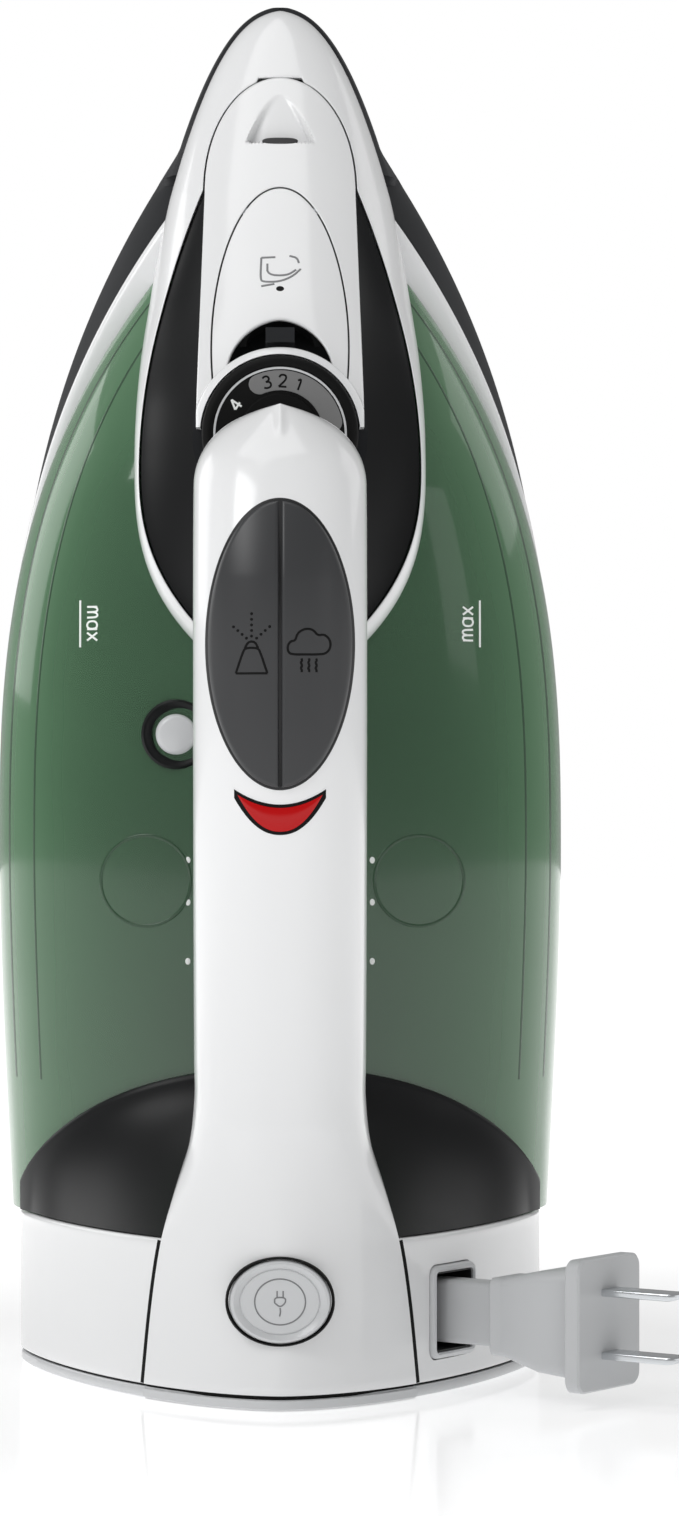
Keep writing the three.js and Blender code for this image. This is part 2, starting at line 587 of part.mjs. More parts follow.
function noseShell() {
  const inside = under(
    (x, z) => noseH(x, z) - WALL,
    (z) => noseHalf(z) - 1.6,
    (z) => noseEdge(z) - NOSE_SINK - 3,
    spaced(NOSE_REAR + 1.6, NOSE_TIP - 6, 14),
    12,
  );
  return cut(noseBody(), inside, leafRegion(GAP), coverRegion(GAP));
}

const dialWell = (o, low, high) => post(0, DIAL_Z, BEZEL_R + o, low, high, 40);
const BEZEL_R = DIAL_R + 2.1;
const WELL_FLOOR = SELECTOR_LOW - 3.2;

function frontSaddle() {
  const stations = spaced(LEAF_REAR, DOOR_FRONT, 12);
  const base = (drop) => (z) => saddleH(leafHalf(z), z) - drop;
  const outer = under(saddleH, (z) => leafHalf(z) + 1.5, base(6), stations, 12);
  const skinInside = (x, z) => saddleH(x, z) - WALL;
  const inner = under(skinInside, (z) => leafHalf(z) - WALL, base(9), stations, 12);
  const floor = post(0, DIAL_Z, BEZEL_R + 1.2, WELL_FLOOR - WALL, WELL_FLOOR, 40);
  const skin = cut(outer, inner, coverRegion(GAP), dialWell(1.2, WELL_FLOOR, 130)).intersect(leafRegion(0));
  const wells = [post(0, DIAL_Z, SHAFT_R + RUN, 60, 99), post(0, VALVE_Z, VALVE_R + RUN, 60, 99, 12)];
  return cut(join(skin, cut(floor, fillThroat(GAP))), ...wells, ...pumpHoles(GAP));
}
const fillThroat = (o) => box(-12 - o, 12 + o, 40, 120, DIAL_Z + BEZEL_R - 3 - o, DOOR_FRONT - 12);

// The filling door: an arch, hinged at the end nearest the tip.
const DOOR_REAR = DIAL_Z + BEZEL_R + 1.6;
const DOOR_GAP = 0.6;
const DOOR_SKIN = 1.6;
const DOOR_WIDEST = DOOR_REAR + 6;
const doorHalf = (z) => {
  const t = clamp((z - DOOR_WIDEST) / (DOOR_FRONT - DOOR_WIDEST), 0, 1);
  return DOOR_HALF * Math.sqrt(Math.max(0, 1 - t * t));
};
const doorRegion = (o) =>
  alongHeight(plan((z) => doorHalf(z - o), DOOR_REAR - o, DOOR_FRONT + o, 12, o), 20, 130);
const hingeZ = DOOR_FRONT - 4.2;
const hingeSlope = (noseRidge(hingeZ + 2) - noseRidge(hingeZ - 2)) / 4;
const HINGE_DEEP = 2.3;
const hingeTilt = Math.hypot(1, hingeSlope);
const HINGE = {
  z: hingeZ + (hingeSlope * HINGE_DEEP) / hingeTilt,
  h: noseRidge(hingeZ) - HINGE_DEEP / hingeTilt,
  knuckle: 2,
};
const alongX = (x0, x1, r, sides = 14) => {
  const g = new THREE.CylinderGeometry(r, r, x1 - x0, sides).rotateZ(Math.PI / 2);
  return solid(g.translate((x0 + x1) / 2, y(HINGE.h), HINGE.z));
};
const skinOf = (depth, z0, z1) => {
  const stations = spread(z0, z1, 9);
  const half = (z) => coverHalf(z) + 3;
  const top = under(noseH, half, (z) => noseEdge(z) - 6, stations, 10);
  return cut(top, under((x, z) => noseH(x, z) - depth, half, (z) => noseEdge(z) - 9, stations, 10));
};
const PIN_REACH = 8.6; // its ends stay under the cover's rounded sides
function fillDoor() {
  const tab = box(-3.2, 3.2, 60, noseRidge(DOOR_REAR + 2) + 0.8, DOOR_REAR, DOOR_REAR + 1.4);
  const skin = skinOf(DOOR_SKIN, DOOR_REAR - 3, DOOR_FRONT + 2).intersect(doorRegion(0));
  const lip = tab.intersect(skinOf(DOOR_SKIN + 3, DOOR_REAR - 3, DOOR_FRONT));
  const half = doorHalf(HINGE.z + HINGE.knuckle) - 0.3;
  return cut(join(skin, lip, alongX(-half, half, HINGE.knuckle)), alongX(-12, 12, DOOR_PIN_R + RUN));
}
const fillDoorPin = () => alongX(-PIN_REACH, PIN_REACH, DOOR_PIN_R);

// The spray scoop: a hollow in front of the nozzle, open to the tip.
const SCOOP = { rear: LENGTH - 34.5, front: LENGTH - 22.5, half: 8.2, low: noseRidge(LENGTH - 24) - 0.5 };
function scoop(o) {
  const s = new THREE.Shape();
  s.moveTo(-SCOOP.half - o, SCOOP.rear - o);
  s.lineTo(SCOOP.half + o, SCOOP.rear - o);
  s.quadraticCurveTo(SCOOP.half + o, SCOOP.front + o, 0, SCOOP.front + o);
  s.quadraticCurveTo(-SCOOP.half - o, SCOOP.front + o, -SCOOP.half - o, SCOOP.rear - o);
  return alongHeight(s, SCOOP.low - o, 90);
}
const NOZZLE = { half: 3.6, low: SCOOP.low + 1.2, tall: 4.6, rear: SCOOP.rear - 8, front: SCOOP.rear + 0.8 };
function nozzleBlock(o) {
  const { half, low, tall, rear, front } = NOZZLE;
  return box(-half - o, half + o, low - o, low + tall + o, rear - o, front + o);
}
function sprayNozzle() {
  const middle = NOZZLE.low + NOZZLE.tall / 2;
  return cut(nozzleBlock(0), bar(0, middle, 0.8, NOZZLE.front - 4, NOZZLE.front + 1, 10));
}

function noseCover() {
  const region = coverRegion(0);
  const deep = skinOf(WALL, DIAL_Z - 6, COVER_FRONT + 2);
  const wide = SCOOP.half + WALL;
  const pad = box(-wide, wide, SCOOP.low - WALL, 80, NOZZLE.rear + 1, SCOOP.front + 1.5);
  const socket = pad.intersect(skinOf(14, DIAL_Z - 6, COVER_FRONT + 2));
  const [near, far] = [PIN_REACH - 2, PIN_REACH + 1];
  const ends = (side) => (side > 0 ? [near, far] : [-far, -near]);
  const boss = (side) => alongX(...ends(side), HINGE.knuckle + 0.5);
  const inCover = under(noseH, coverHalf, () => 20, spread(hingeZ - 8, hingeZ + 8, 6));
  const bosses = cut(join(boss(RIGHT), boss(LEFT)).intersect(inCover), doorRegion(DOOR_GAP));
  const opened = cut(join(deep, socket).intersect(region), scoop(0), nozzleBlock(GAP), doorRegion(DOOR_GAP));
  const throat = box(-11.5, 11.5, 40, 130, DIAL_Z, DOOR_REAR + 3);
  return cut(join(opened, bosses), fillDoorPinHole(), dialWell(1.2 + GAP, 40, 130), throat);
}
const fillDoorPinHole = () => alongX(-PIN_REACH - 0.3, PIN_REACH + 0.3, DOOR_PIN_R + 0.3);

function fillFunnel() {
  const low = tankCeiling(FUNNEL.z - FUNNEL.r) + 3 * GAP;
  const top = noseH(FUNNEL.r, FUNNEL.z + FUNNEL.r) - DOOR_SKIN - 4;
  const r = FUNNEL.r;
  const bore = r - FUNNEL.wall;
  const profile = [[r, low], [r, top - 5], [r + 3.4, top], [r + 2, top], [bore, top - 5], [bore, low]];
  const cone = turned(0, FUNNEL.z, profile, 20);
  return cut(cone, post(0, DIAL_Z, SHAFT_R + 1, 40, 99));
}
function sprayTube() {
  const at = (x, h, z) => new THREE.Vector3(x, y(h), z);
  const path = new THREE.CatmullRomCurve3([
    at(-PUMP_X, PUMP.low - 1.6, PUMP.z),
    at(-PUMP_X - 3, PUMP.low - 3.5, PUMP.z + 8),
    at(-12.5, 78, DIAL_Z - 8),
    at(-12.5, 70, DIAL_Z + 14),
    at(-9, 56, LENGTH - 62),
    at(-3, NOZZLE.low + 2.4, NOZZLE.rear - 6),
    at(0, NOZZLE.low + 2.3, NOZZLE.rear - 3 * GAP),
  ]);
  return tube(path, 1.5, 22, 6);
}

// ---------------------------------------------------------------- dial and steam selector
function temperatureDial() {
  const [low, high] = [DIAL_LOW, DIAL_LOW + DIAL_THICK];
  const R = DIAL_R;
  const bore = SHAFT_R + RUN;
  const knob = turned(0, DIAL_Z, [
    [bore, low], [R - 0.8, low], [R, low + 0.8], [R, high - 1.2], [R - 1.2, high], [0, high],
    [0, high - 2], [bore, high - 2],
  ], 36);
  return cut(knob, post(0, DIAL_Z, bore, low - 1, high - 2, 20));
}
function dialBezel() {
  const [low, floor] = [WELL_FLOOR + GAP, SELECTOR_LOW + SELECTOR_THICK + RUN];
  const r = SHAFT_R + RUN + 0.3;
  const top = DIAL_LOW + 2.6;
  return turned(0, DIAL_Z, [
    [r, low], [r + 1.4, low], [r + 1.4, floor], [BEZEL_R, floor], [BEZEL_R, top - 0.6], [BEZEL_R - 0.6, top],
    [DIAL_R + 0.4, top], [DIAL_R + 0.4, floor + 1.4], [r, floor + 1.4],
  ], 36);
}
function steamSelector() {
  const [low, high] = [SELECTOR_LOW, SELECTOR_LOW + SELECTOR_THICK];
  const inner = SHAFT_R + RUN + 0.3 + 1.4 + RUN;
  const ring = turned(0, DIAL_Z, [[inner, low], [BEZEL_R, low], [BEZEL_R, high], [inner, high]], 36);
  const tab = box(-3, 3, low, high, DIAL_Z + BEZEL_R - 2, DIAL_Z + BEZEL_R + 4);
  const thumb = box(-3, 3, low, DIAL_LOW + 1, DIAL_Z + BEZEL_R + 1, DIAL_Z + BEZEL_R + 4);
  return join(ring, tab, thumb);
}
const VALVE_LIFT = 2;
function steamValveRod() {
  const collar = TANK_BASE + FLOOR_THICK + VALVE_LIFT;
  const top = WELL_FLOOR - WALL - VALVE_LIFT - 1.5;
  const rod = post(0, VALVE_Z, VALVE_R, CASTING_TOP - 3, top, 12);
  return join(rod, post(0, VALVE_Z, VALVE_R + 1.4, collar, collar + 3, 14));
}

// ---------------------------------------------------------------- handle
const buttonRegion = (o) =>
  alongHeight(ellipse(BUTTON_Z, BUTTON_HALF + o, BUTTON_LONG + o), BUTTON_BASE - 8, 170);
function lensRegion(o, low, high) {
  const s = new THREE.Shape();
  const w = 8.4 + o;
  s.moveTo(-w, LENS_Z + 4 + o);
  s.quadraticCurveTo(0, LENS_Z - 0.8 + o, w, LENS_Z + 4 + o);
  s.quadraticCurveTo(w - 2, LENS_Z - 3.6 - o, 0, LENS_Z - 3.6 - o);
  s.quadraticCurveTo(-w + 2, LENS_Z - 3.6 - o, -w, LENS_Z + 4 + o);
  return alongHeight(s, low, high);
}
function handleUpper() {
  const base = (z) => handleBase(z) - WALL - 1;
  const inner = under(handleSkin, handleHalf, base, widened(HANDLE_STATIONS, -WALL), 12, -WALL);
  const rewindHole = alongHeight(ellipse(REWIND.z, REWIND.wide + GAP, REWIND.tall + GAP), 100, 150);
  return cut(handleBody(), inner, buttonRegion(GAP), lensRegion(GAP, 120, 160), rewindHole);
}
function pumpHoles(o) {
  return [RIGHT, LEFT].map((side) => post(side * PUMP_X, PUMP.z, PUMP.r + o, 40, 130));
}
const PUMP = { z: COLUMN_Z, r: PUMP_R, low: 84, tall: 36, bore: 2.8 };
function handleLower() {
  const inner = loft(
    widened(GRIP_STATIONS, -WALL).map((z) => {
      const w = Math.max(handleHalf(z) - WALL, 0.4);
      const [low, high] = [gripUnder(z) + WALL, parting(z) + 2];
      const chamfer = Math.min(low + 2, high - 0.2);
      return { z, loop: [[w, high], [-w, high], [-w, chamfer], [-w * 0.7, low], [w * 0.7, low], [w, chamfer]] };
    }),
  );
  return cut(gripBody(), inner, ...pumpHoles(GAP));
}
function frontColumn() {
  const outer = alongHeight(ellipse(COLUMN_Z, COLUMN_HALF, COLUMN_LONG), 60, HEIGHT - 27);
  const inner = alongHeight(ellipse(COLUMN_Z, COLUMN_HALF - WALL, COLUMN_LONG - WALL), 50, 140);
  const onSaddle = (x, z) => saddleH(x, z) + GAP;
  const ground = under(onSaddle, (z) => leafHalf(z) + 4, () => 20, spaced(LEAF_REAR - 1, DIAL_Z, 14));
  return cut(outer, inner, ground, gripBody(GAP), dialWell(GAP, 80, 130), tankBody(GAP), noseBody(-2));
}
const halfButton = (side) => {
  const [x0, x1] = side > 0 ? [0.25, 30] : [-30, -0.25];
  const proud = (x, z) => handleH(x, z) + BUTTON_PROUD;
  const top = under(proud, handleHalf, () => BUTTON_BASE, spread(BUTTON_Z - 30, BUTTON_Z + 30, 12));
  const pad = top.intersect(alongHeight(ellipse(BUTTON_Z, BUTTON_HALF, BUTTON_LONG), BUTTON_BASE, 170));
  return pad.intersect(box(x0, x1, 100, 170, BUTTON_Z - 40, BUTTON_Z + 40));
};
function pumpBody(side) {
  const barrel = post(side * PUMP_X, PUMP.z, PUMP.r, PUMP.low, PUMP.low + PUMP.tall);
  return cut(barrel, post(side * PUMP_X, PUMP.z, PUMP.bore, PUMP.low + 2, 140));
}
const piston = (side) =>
  join(
    post(side * PUMP_X, PUMP.z, PUMP.bore - RUN, PUMP.low + 2 + BUTTON_TRAVEL + 6, PUMP.low + 20),
    post(side * PUMP_X, PUMP.z, 1.5, PUMP.low + 10, BUTTON_BASE - GAP),
    post(side * PUMP_X, PUMP.z, 3.4, BUTTON_BASE - 1.6, BUTTON_BASE - GAP),
  );
// A coil spring standing on the sole plane's normal.
class Coil extends THREE.Curve {
  constructor(x, z, r, low, high, turns) {
    super();
    Object.assign(this, { x, z, r, low, high, turns });
  }
  getPoint(t, target = new THREE.Vector3()) {
    const a = 2 * Math.PI * this.turns * t;
    const h = this.low + (this.high - this.low) * t;
    return target.set(this.x + this.r * Math.cos(a), y(h), this.z + this.r * Math.sin(a));
  }
}
const coil = (x, z, r, wire, low, high, turns) =>
  tube(new Coil(x, z, r, low + wire, high - wire, turns), wire, Math.round(turns * 9), 4);
const buttonSpring = (side) =>
  coil(side * PUMP_X, PUMP.z, 2.6, 0.45, PUMP.low + PUMP.tall + GAP, BUTTON_BASE - 1.6 - GAP, 6);

function indicatorLens() {
  const top = under(handleH, handleHalf, () => 120, spread(LENS_Z - 10, LENS_Z + 10, 6));
  return lensRegion(0, handleTop(LENS_Z) - 4, 170).intersect(top);
}
const indicatorBoard = () =>
  box(-9, 9, handleTop(LENS_Z) - 9, handleTop(LENS_Z) - 7.4, LENS_Z - 12, LENS_Z + 4);

// The self-clean button stands in a ring on the tank.
function autoCleanRing() {
  const top = tankH(CLEAN.x, CLEAN.z) + 0.9;
  const r = 2.2;
  return turned(CLEAN.x, CLEAN.z, [
    [r, top - 20], [r + 1.4, top - 20], [r + 1.4, top - 9], [CLEAN.well, top - 9],
    [CLEAN.well, top - 0.6], [CLEAN.well - 0.6, top], [CLEAN.cap + 1.2, top],
    [CLEAN.cap + 0.4, top - 1], [CLEAN.cap + 0.4, top - 7.4], [r, top - 7.4],
  ], 28);
}
function autoCleanButton() {
  const top = tankH(CLEAN.x, CLEAN.z) + 0.9;
  return turned(CLEAN.x, CLEAN.z, [
    [0, 34], [1.8, 34], [1.8, top - 3], [CLEAN.cap, top - 3], [CLEAN.cap, top + 0.6],
    [CLEAN.cap - 0.8, top + 1.2], [0, top + 1.2],
  ], 24);
}

// ---------------------------------------------------------------- heel
const plugMouthY = y(arch(PLUG_X));
// Places a piece built along +X from the pocket's mouth onto the plug's own axis.
const onPlug = (g) => solid(g.rotateZ(-PLUG_ANGLE).translate(PLUG_X, plugMouthY, PLUG_Z));
const plugBox = (t0, t1, wide, tall) =>
  onPlug(new THREE.BoxGeometry(t1 - t0, wide, tall).translate((t0 + t1) / 2, 0, 0));
const POCKET = { deep: 13, lip: 2.5, wide: 16, tall: 19, wall: 1.3 };

function heelHousing() {
  const front = HEEL_COVER + GAP;
  const rings = [[front, 0], [HEEL_DEPTH - 1.5, 0], [HEEL_DEPTH, 1]];
  const outer = loft(rings.map(([z, inset]) => ({ z, loop: heelLoop(inset) })));
  const inner = loft([front - 1, HEEL_DEPTH - WALL].map((z) => ({ z, loop: heelLoop(WALL) })));
  const boss = cut(
    bar(0, REEL_H, AXLE_R + 3, HEEL_DEPTH - WALL - 0.2, HEEL_DEPTH - 1),
    bar(0, REEL_H, AXLE_R, 0, HEEL_DEPTH - 1.6),
  );
  const pocket = plugBox(-POCKET.deep - GAP, 20, POCKET.wide + 2 * GAP, POCKET.tall + 2 * GAP);
  return cut(join(cut(outer, inner), boss), handleBody(GAP), pocket, wirePassage(), ...screws(GAP));
}
// The supply wires pass from the reel to the handle here.
const wirePassage = () => box(-6, 6, HEEL_TOP - 40, HEEL_TOP - 22, HEEL_DEPTH - 6, HEEL_DEPTH + 12);
const SCREW_AT = [[-40, 30], [40, 30]];
const screws = (o) =>
  SCREW_AT.map(([x, h]) => join(bar(x, h, 2.8 + o, 0.6 - o, 2 + o, 14), bar(x, h, 1.2 + o, 1, 9 + o, 10)));
function heelPlate() {
  const plate = loft([[0, 0.6], [HEEL_COVER, 0]].map(([z, inset]) => ({ z, loop: heelLoop(inset) })));
  const recesses = SCREW_AT.map(([x, h]) => bar(x, h, 3.2, -1, 1));
  return cut(plate, handleBody(GAP), ...screws(GAP), ...recesses);
}
function rearSaddle() {
  const rear = HEEL_DEPTH + GAP;
  const stations = spread(rear, HEEL_DEPTH + SADDLE_LONG, 8);
  const outer = under(rearSaddleH, () => HEEL_HALF, () => 40, stations, 24);
  const inner = under((x, z) => rearSaddleH(x, z) - WALL, () => HEEL_HALF - WALL, () => 38, stations, 24);
  const edge = spread(-1, 1, 20).map((t) => {
    const x = HEEL_HALF * Math.sin((Math.PI / 2) * t);
    return [x, rearSaddleEdge(x)];
  });
  const region = alongHeight(shapeOf([[-HEEL_HALF, rear], ...edge, [HEEL_HALF, rear]]), 30, 150);
  const hollowed = cut(inner, box(-BODY_WIDTH, BODY_WIDTH, 0, HEIGHT, 0, rear + WALL));
  const neighbours = [tankBody(3 * GAP), handleBody(GAP), gripBody(GAP)];
  return cut(outer.intersect(region), hollowed, ...neighbours, wirePassage());
}
// The rewind button, its cup and the brake it lifts off the reel.
const REWIND_TOP = handleSkin(0, REWIND.z);
const CUP = { low: REWIND_TOP - 18, floor: 1.5 };
function rewindRing() {
  const ring = alongHeight(ellipse(REWIND.z, REWIND.wide, REWIND.tall), CUP.low, REWIND_TOP + 0.8);
  const hole = alongHeight(ellipse(REWIND.z, REWIND.wide - 1.6, REWIND.tall - 1.6), CUP.low + CUP.floor, 150);
  return cut(ring, hole, post(0, REWIND.z, 1.2 + RUN, 80, 140, 14));
}
function rewindButton() {
  const outline = ellipse(REWIND.z, REWIND.wide - 1.6 - RUN, REWIND.tall - 1.6 - RUN);
  const cap = alongHeight(outline, REWIND_TOP - 5, REWIND_TOP + 0.6);
  return join(cap, post(0, REWIND.z, 1.2, LEVER.top + GAP, REWIND_TOP - 4, 14));
}
const rewindSpring = () => coil(0, REWIND.z, 4.2, 0.5, CUP.low + CUP.floor + GAP, REWIND_TOP - 5 - GAP, 5);

const rim = (x) => REEL_H + Math.sqrt(REEL_R ** 2 - x ** 2);
const LEVER = { pivot: -8, left: -21, right: 4, shoe: 4, low: rim(0) + 3.3, top: rim(0) + 6.8 };
const leverH = (LEVER.low + LEVER.top) / 2;
function brakeLever() {
  const arm = box(LEVER.left, LEVER.right, LEVER.low, LEVER.top, REWIND.z - 3, REWIND.z + 4);
  const shoeLow = rim(LEVER.left + LEVER.shoe) + GAP;
  const shoeFront = REEL_LOW + REEL_WIDE - 0.2;
  const shoe = box(LEVER.left, LEVER.left + LEVER.shoe, shoeLow, LEVER.top, REWIND.z - 3, shoeFront);
  return cut(join(arm, shoe), bar(LEVER.pivot, leverH, 1.3 + RUN, 0, 40, 14));
}
const brakePin = () => bar(LEVER.pivot, leverH, 1.3, REWIND.z - 5, HEEL_DEPTH - WALL - GAP, 14);

// ---------------------------------------------------------------- cord reel, cord and plug
const REEL_TOP = REEL_LOW + REEL_WIDE;
const SPRING_R = DRUM_R - 1.5;
function cordReel() {
  const bore = AXLE_R + RUN;
  return spun(0, REEL_H, [
    [bore, REEL_LOW], [bore + 2, REEL_LOW], [bore + 2, REEL_TOP - 3], [SPRING_R, REEL_TOP - 3],
    [SPRING_R, REEL_LOW],
    [REEL_R, REEL_LOW], [REEL_R, REEL_LOW + FLANGE], [DRUM_R, REEL_LOW + FLANGE], [DRUM_R, REEL_TOP - FLANGE],
    [REEL_R, REEL_TOP - FLANGE], [REEL_R, REEL_TOP], [bore, REEL_TOP],
  ], 32);
}
const reelAxle = () =>
  join(
    bar(0, REEL_H, AXLE_R, HEEL_COVER + 1.8, HEEL_DEPTH - WALL),
    bar(0, REEL_H, AXLE_R + 2, HEEL_COVER + GAP, REEL_LOW - RUN),
  );
// A flat spiral of spring steel inside the drum.
function reelSpring() {
  const [r0, r1, turns, thick] = [AXLE_R + RUN + 2.6, SPRING_R - 0.9, 3, 0.25];
  const at = (t, o) => {
    const a = 2 * Math.PI * turns * t;
    const r = r0 + (r1 - r0) * t + o;
    return [r * Math.cos(a), REEL_H + r * Math.sin(a)];
  };
  const ts = spread(0, 1, turns * 14);
  const strip = [...ts.map((t) => at(t, thick)), ...ts.map((t) => at(t, -thick)).reverse()];
  return alongLength(shapeOf(strip), REEL_LOW + 1, REEL_TOP - 4);
}
// The wound cord: the outer shape of its layers, scalloped where the turns lie side by side.
function cordWinding() {
  const [low, high] = [REEL_LOW + FLANGE + 0.4, REEL_TOP - FLANGE - 0.4];
  const turns = Math.floor((high - low) / (2 * CORD_R));
  const pitch = (high - low) / turns;
  const scallop = spread(0, turns, turns * 4).map((t) => [
    WINDING_R - 1.3 * (1 - Math.abs(Math.sin(Math.PI * t))),
    low + pitch * t,
  ]);
  return spun(0, REEL_H, [[DRUM_R + GAP, low], ...scallop, [DRUM_R + GAP, high]], 28);
}
const STUB_REAR = -8;
// From the winding's last turn to the back of the plug.
function cordLead() {
  const r = WINDING_R + CORD_R + GAP;
  const a = THREE.MathUtils.degToRad(-96);
  const centreY = y(REEL_H);
  const start = new THREE.Vector3(r * Math.cos(a), centreY + r * Math.sin(a), PLUG_Z);
  const heading = new THREE.Vector3(-Math.sin(a), Math.cos(a), 0);
  const out = new THREE.Vector3(Math.cos(PLUG_ANGLE), -Math.sin(PLUG_ANGLE), 0);
  const end = new THREE.Vector3(PLUG_X, plugMouthY, PLUG_Z).addScaledVector(out, STUB_REAR - GAP);
  const path = new THREE.CubicBezierCurve3(
    start, start.clone().addScaledVector(heading, 12), end.clone().addScaledVector(out, -8), end,
  );
  return tube(path, CORD_R, 8, 8);
}
function plugPocket() {
  const { deep, lip, wide, tall, wall } = POCKET;
  const outer = plugBox(-deep, lip, wide, tall);
  const inner = plugBox(-deep - 5, lip + 1, wide - 2 * wall, tall - 2 * wall);
  return cut(outer, inner);
}
const PLUG = { block: 14, ring: 17, neck: 34, face: 38.5 };
function plugBody() {
  const stub = plugBox(STUB_REAR, PLUG.block + 0.5, STUB_WIDE, STUB_TALL);
  const ring = plugBox(PLUG.block, PLUG.ring, STUB_WIDE + 5, STUB_TALL + 4);
  const neck = new THREE.CylinderGeometry(11.2, 7.2, PLUG.neck - PLUG.ring + 1, 6).rotateZ(-Math.PI / 2);
  neck.rotateX(Math.PI / 2).scale(1, 0.82, 1).translate((PLUG.neck + PLUG.ring) / 2, 0, 0);
  const outline = new THREE.Shape();
  const [w, t, r] = [PLATE_WIDE / 2, PLATE_TALL / 2, 5];
  outline.moveTo(-w + r, -t);
  outline.lineTo(w - r, -t).absarc(w - r, -t + r, r, -Math.PI / 2, 0);
  outline.lineTo(w, t - r).absarc(w - r, t - r, r, 0, Math.PI / 2);
  outline.lineTo(-w + r, t).absarc(-w + r, t - r, r, Math.PI / 2, Math.PI);
  outline.lineTo(-w, -t + r).absarc(-w + r, -t + r, r, Math.PI, 1.5 * Math.PI);
  const plate = extruded(outline, PLUG.face - PLUG.neck + 0.5, 4);
  plate.applyMatrix4(new THREE.Matrix4().set(0, 0, 1, PLUG.neck - 0.5, 1, 0, 0, 0, 0, 1, 0, 0, 0, 0, 0, 1));
  return cut(join(stub, ring, onPlug(neck), onPlug(plate)), blade(RIGHT, GAP), blade(LEFT, GAP));
}
const blade = (side, o = 0) =>
  onPlug(
    new THREE.BoxGeometry(BLADE.long + 3 + 2 * o, BLADE.wide + 2 * o, BLADE.thick + 2 * o).translate(
      PLUG.face + (BLADE.long - 3) / 2, 0, (side * BLADE_PITCH) / 2,
    ),
  );

// ---------------------------------------------------------------- finishes and assembly
const FINISH = {
  white: { color: 0xf4f4f2, roughness: 0.25, metalness: 0 },
  charcoal: { color: 0x3d4147, roughness: 0.55, metalness: 0 },
  black: { color: 0x1d1f22, roughness: 0.5, metalness: 0 },
  green: { color: 0x2f7d5c, roughness: 0.12, metalness: 0 },
  grey: { color: 0xb9bcbf, roughness: 0.45, metalness: 0 },
  red: { color: 0xb3161c, roughness: 0.3, metalness: 0 },
  steel: { color: 0xbfc2c5, roughness: 0.3, metalness: 1 },
  aluminium: { color: 0xa8abae, roughness: 0.5, metalness: 1 },
  brass: { color: 0xc2a25a, roughness: 0.35, metalness: 1 },
  cord: { color: 0xd6d6d2, roughness: 0.7, metalness: 0 },
};

const PIECES = [
  ["sole_plate", solePlate, "steel"],
  ["heater_casting", heaterCasting, "aluminium"],
  ["heating_element", heatingElement, "steel"],
  ["steam_chamber_cover", steamChamberCover, "aluminium"],
  ["thermostat", thermostat, "brass"],
  ["thermostat_shaft", thermostatShaft, "steel"],
  ["thermal_fuse", thermalFuse, "steel"],
  ["skirt", skirt, "charcoal"],
  ["body_shell", bodyShell, "white"],
  ["water_tank", waterTank, "green"],
  ["tank_floor", tankFloor, "green"],
  ["nose_shell", noseShell, "white"],
  ["front_saddle", frontSaddle, "black"],
  ["nose_cover", noseCover, "white"],
  ["fill_door", fillDoor, "white"],
  ["fill_door_pin", fillDoorPin, "steel"],
  ["fill_funnel", fillFunnel, "black"],
  ["spray_nozzle", sprayNozzle, "grey"],
  ["spray_tube", sprayTube, "grey"],
  ["temperature_dial", temperatureDial, "grey"],
  ["dial_bezel", dialBezel, "white"],
  ["steam_selector", steamSelector, "charcoal"],
  ["steam_valve_rod", steamValveRod, "steel"],
  ["handle_upper", handleUpper, "white"],
  ["handle_lower", handleLower, "charcoal"],
  ["front_column", frontColumn, "white"],
  ["spray_button", () => halfButton(LEFT), "charcoal"],
  ["steam_button", () => halfButton(RIGHT), "charcoal"],
  ["spray_pump", () => pumpBody(LEFT), "grey"],
  ["steam_pump", () => pumpBody(RIGHT), "grey"],
  ["spray_piston", () => piston(LEFT), "grey"],
  ["steam_piston", () => piston(RIGHT), "grey"],
  ["spray_spring", () => buttonSpring(LEFT), "steel"],
  ["steam_spring", () => buttonSpring(RIGHT), "steel"],
  ["indicator_lens", indicatorLens, "red"],
  ["indicator_board", indicatorBoard, "green"],
  ["auto_clean_ring", autoCleanRing, "black"],
  ["auto_clean_button", autoCleanButton, "grey"],
  ["rear_saddle", rearSaddle, "black"],
  ["heel_housing", heelHousing, "white"],
  ["heel_plate", heelPlate, "grey"],
  ["heel_screw_1", () => screws(0)[0], "steel"],
  ["heel_screw_2", () => screws(0)[1], "steel"],
  ["rewind_ring", rewindRing, "black"],
  ["rewind_button", rewindButton, "grey"],
  ["rewind_spring", rewindSpring, "steel"],
  ["brake_lever", brakeLever, "grey"],
  ["brake_pin", brakePin, "steel"],
  ["reel_axle", reelAxle, "steel"],
  ["cord_reel", cordReel, "grey"],
  ["reel_spring", reelSpring, "steel"],
  ["cord_winding", cordWinding, "cord"],
  ["cord_lead", cordLead, "cord"],
  ["plug_pocket", plugPocket, "white"],
  ["plug_body", plugBody, "cord"],
  ["plug_blade_1", () => blade(LEFT), "steel"],
  ["plug_blade_2", () => blade(RIGHT), "steel"],
];

const iron = new THREE.Group();
iron.name = "steam_iron";
for (const [name, make, finish] of PIECES) {
  const mesh = new THREE.Mesh(geometryOf(make()), new THREE.MeshStandardMaterial(FINISH[finish]));
  mesh.name = name;
  iron.add(mesh);
}
export default iron;
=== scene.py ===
import json
import math

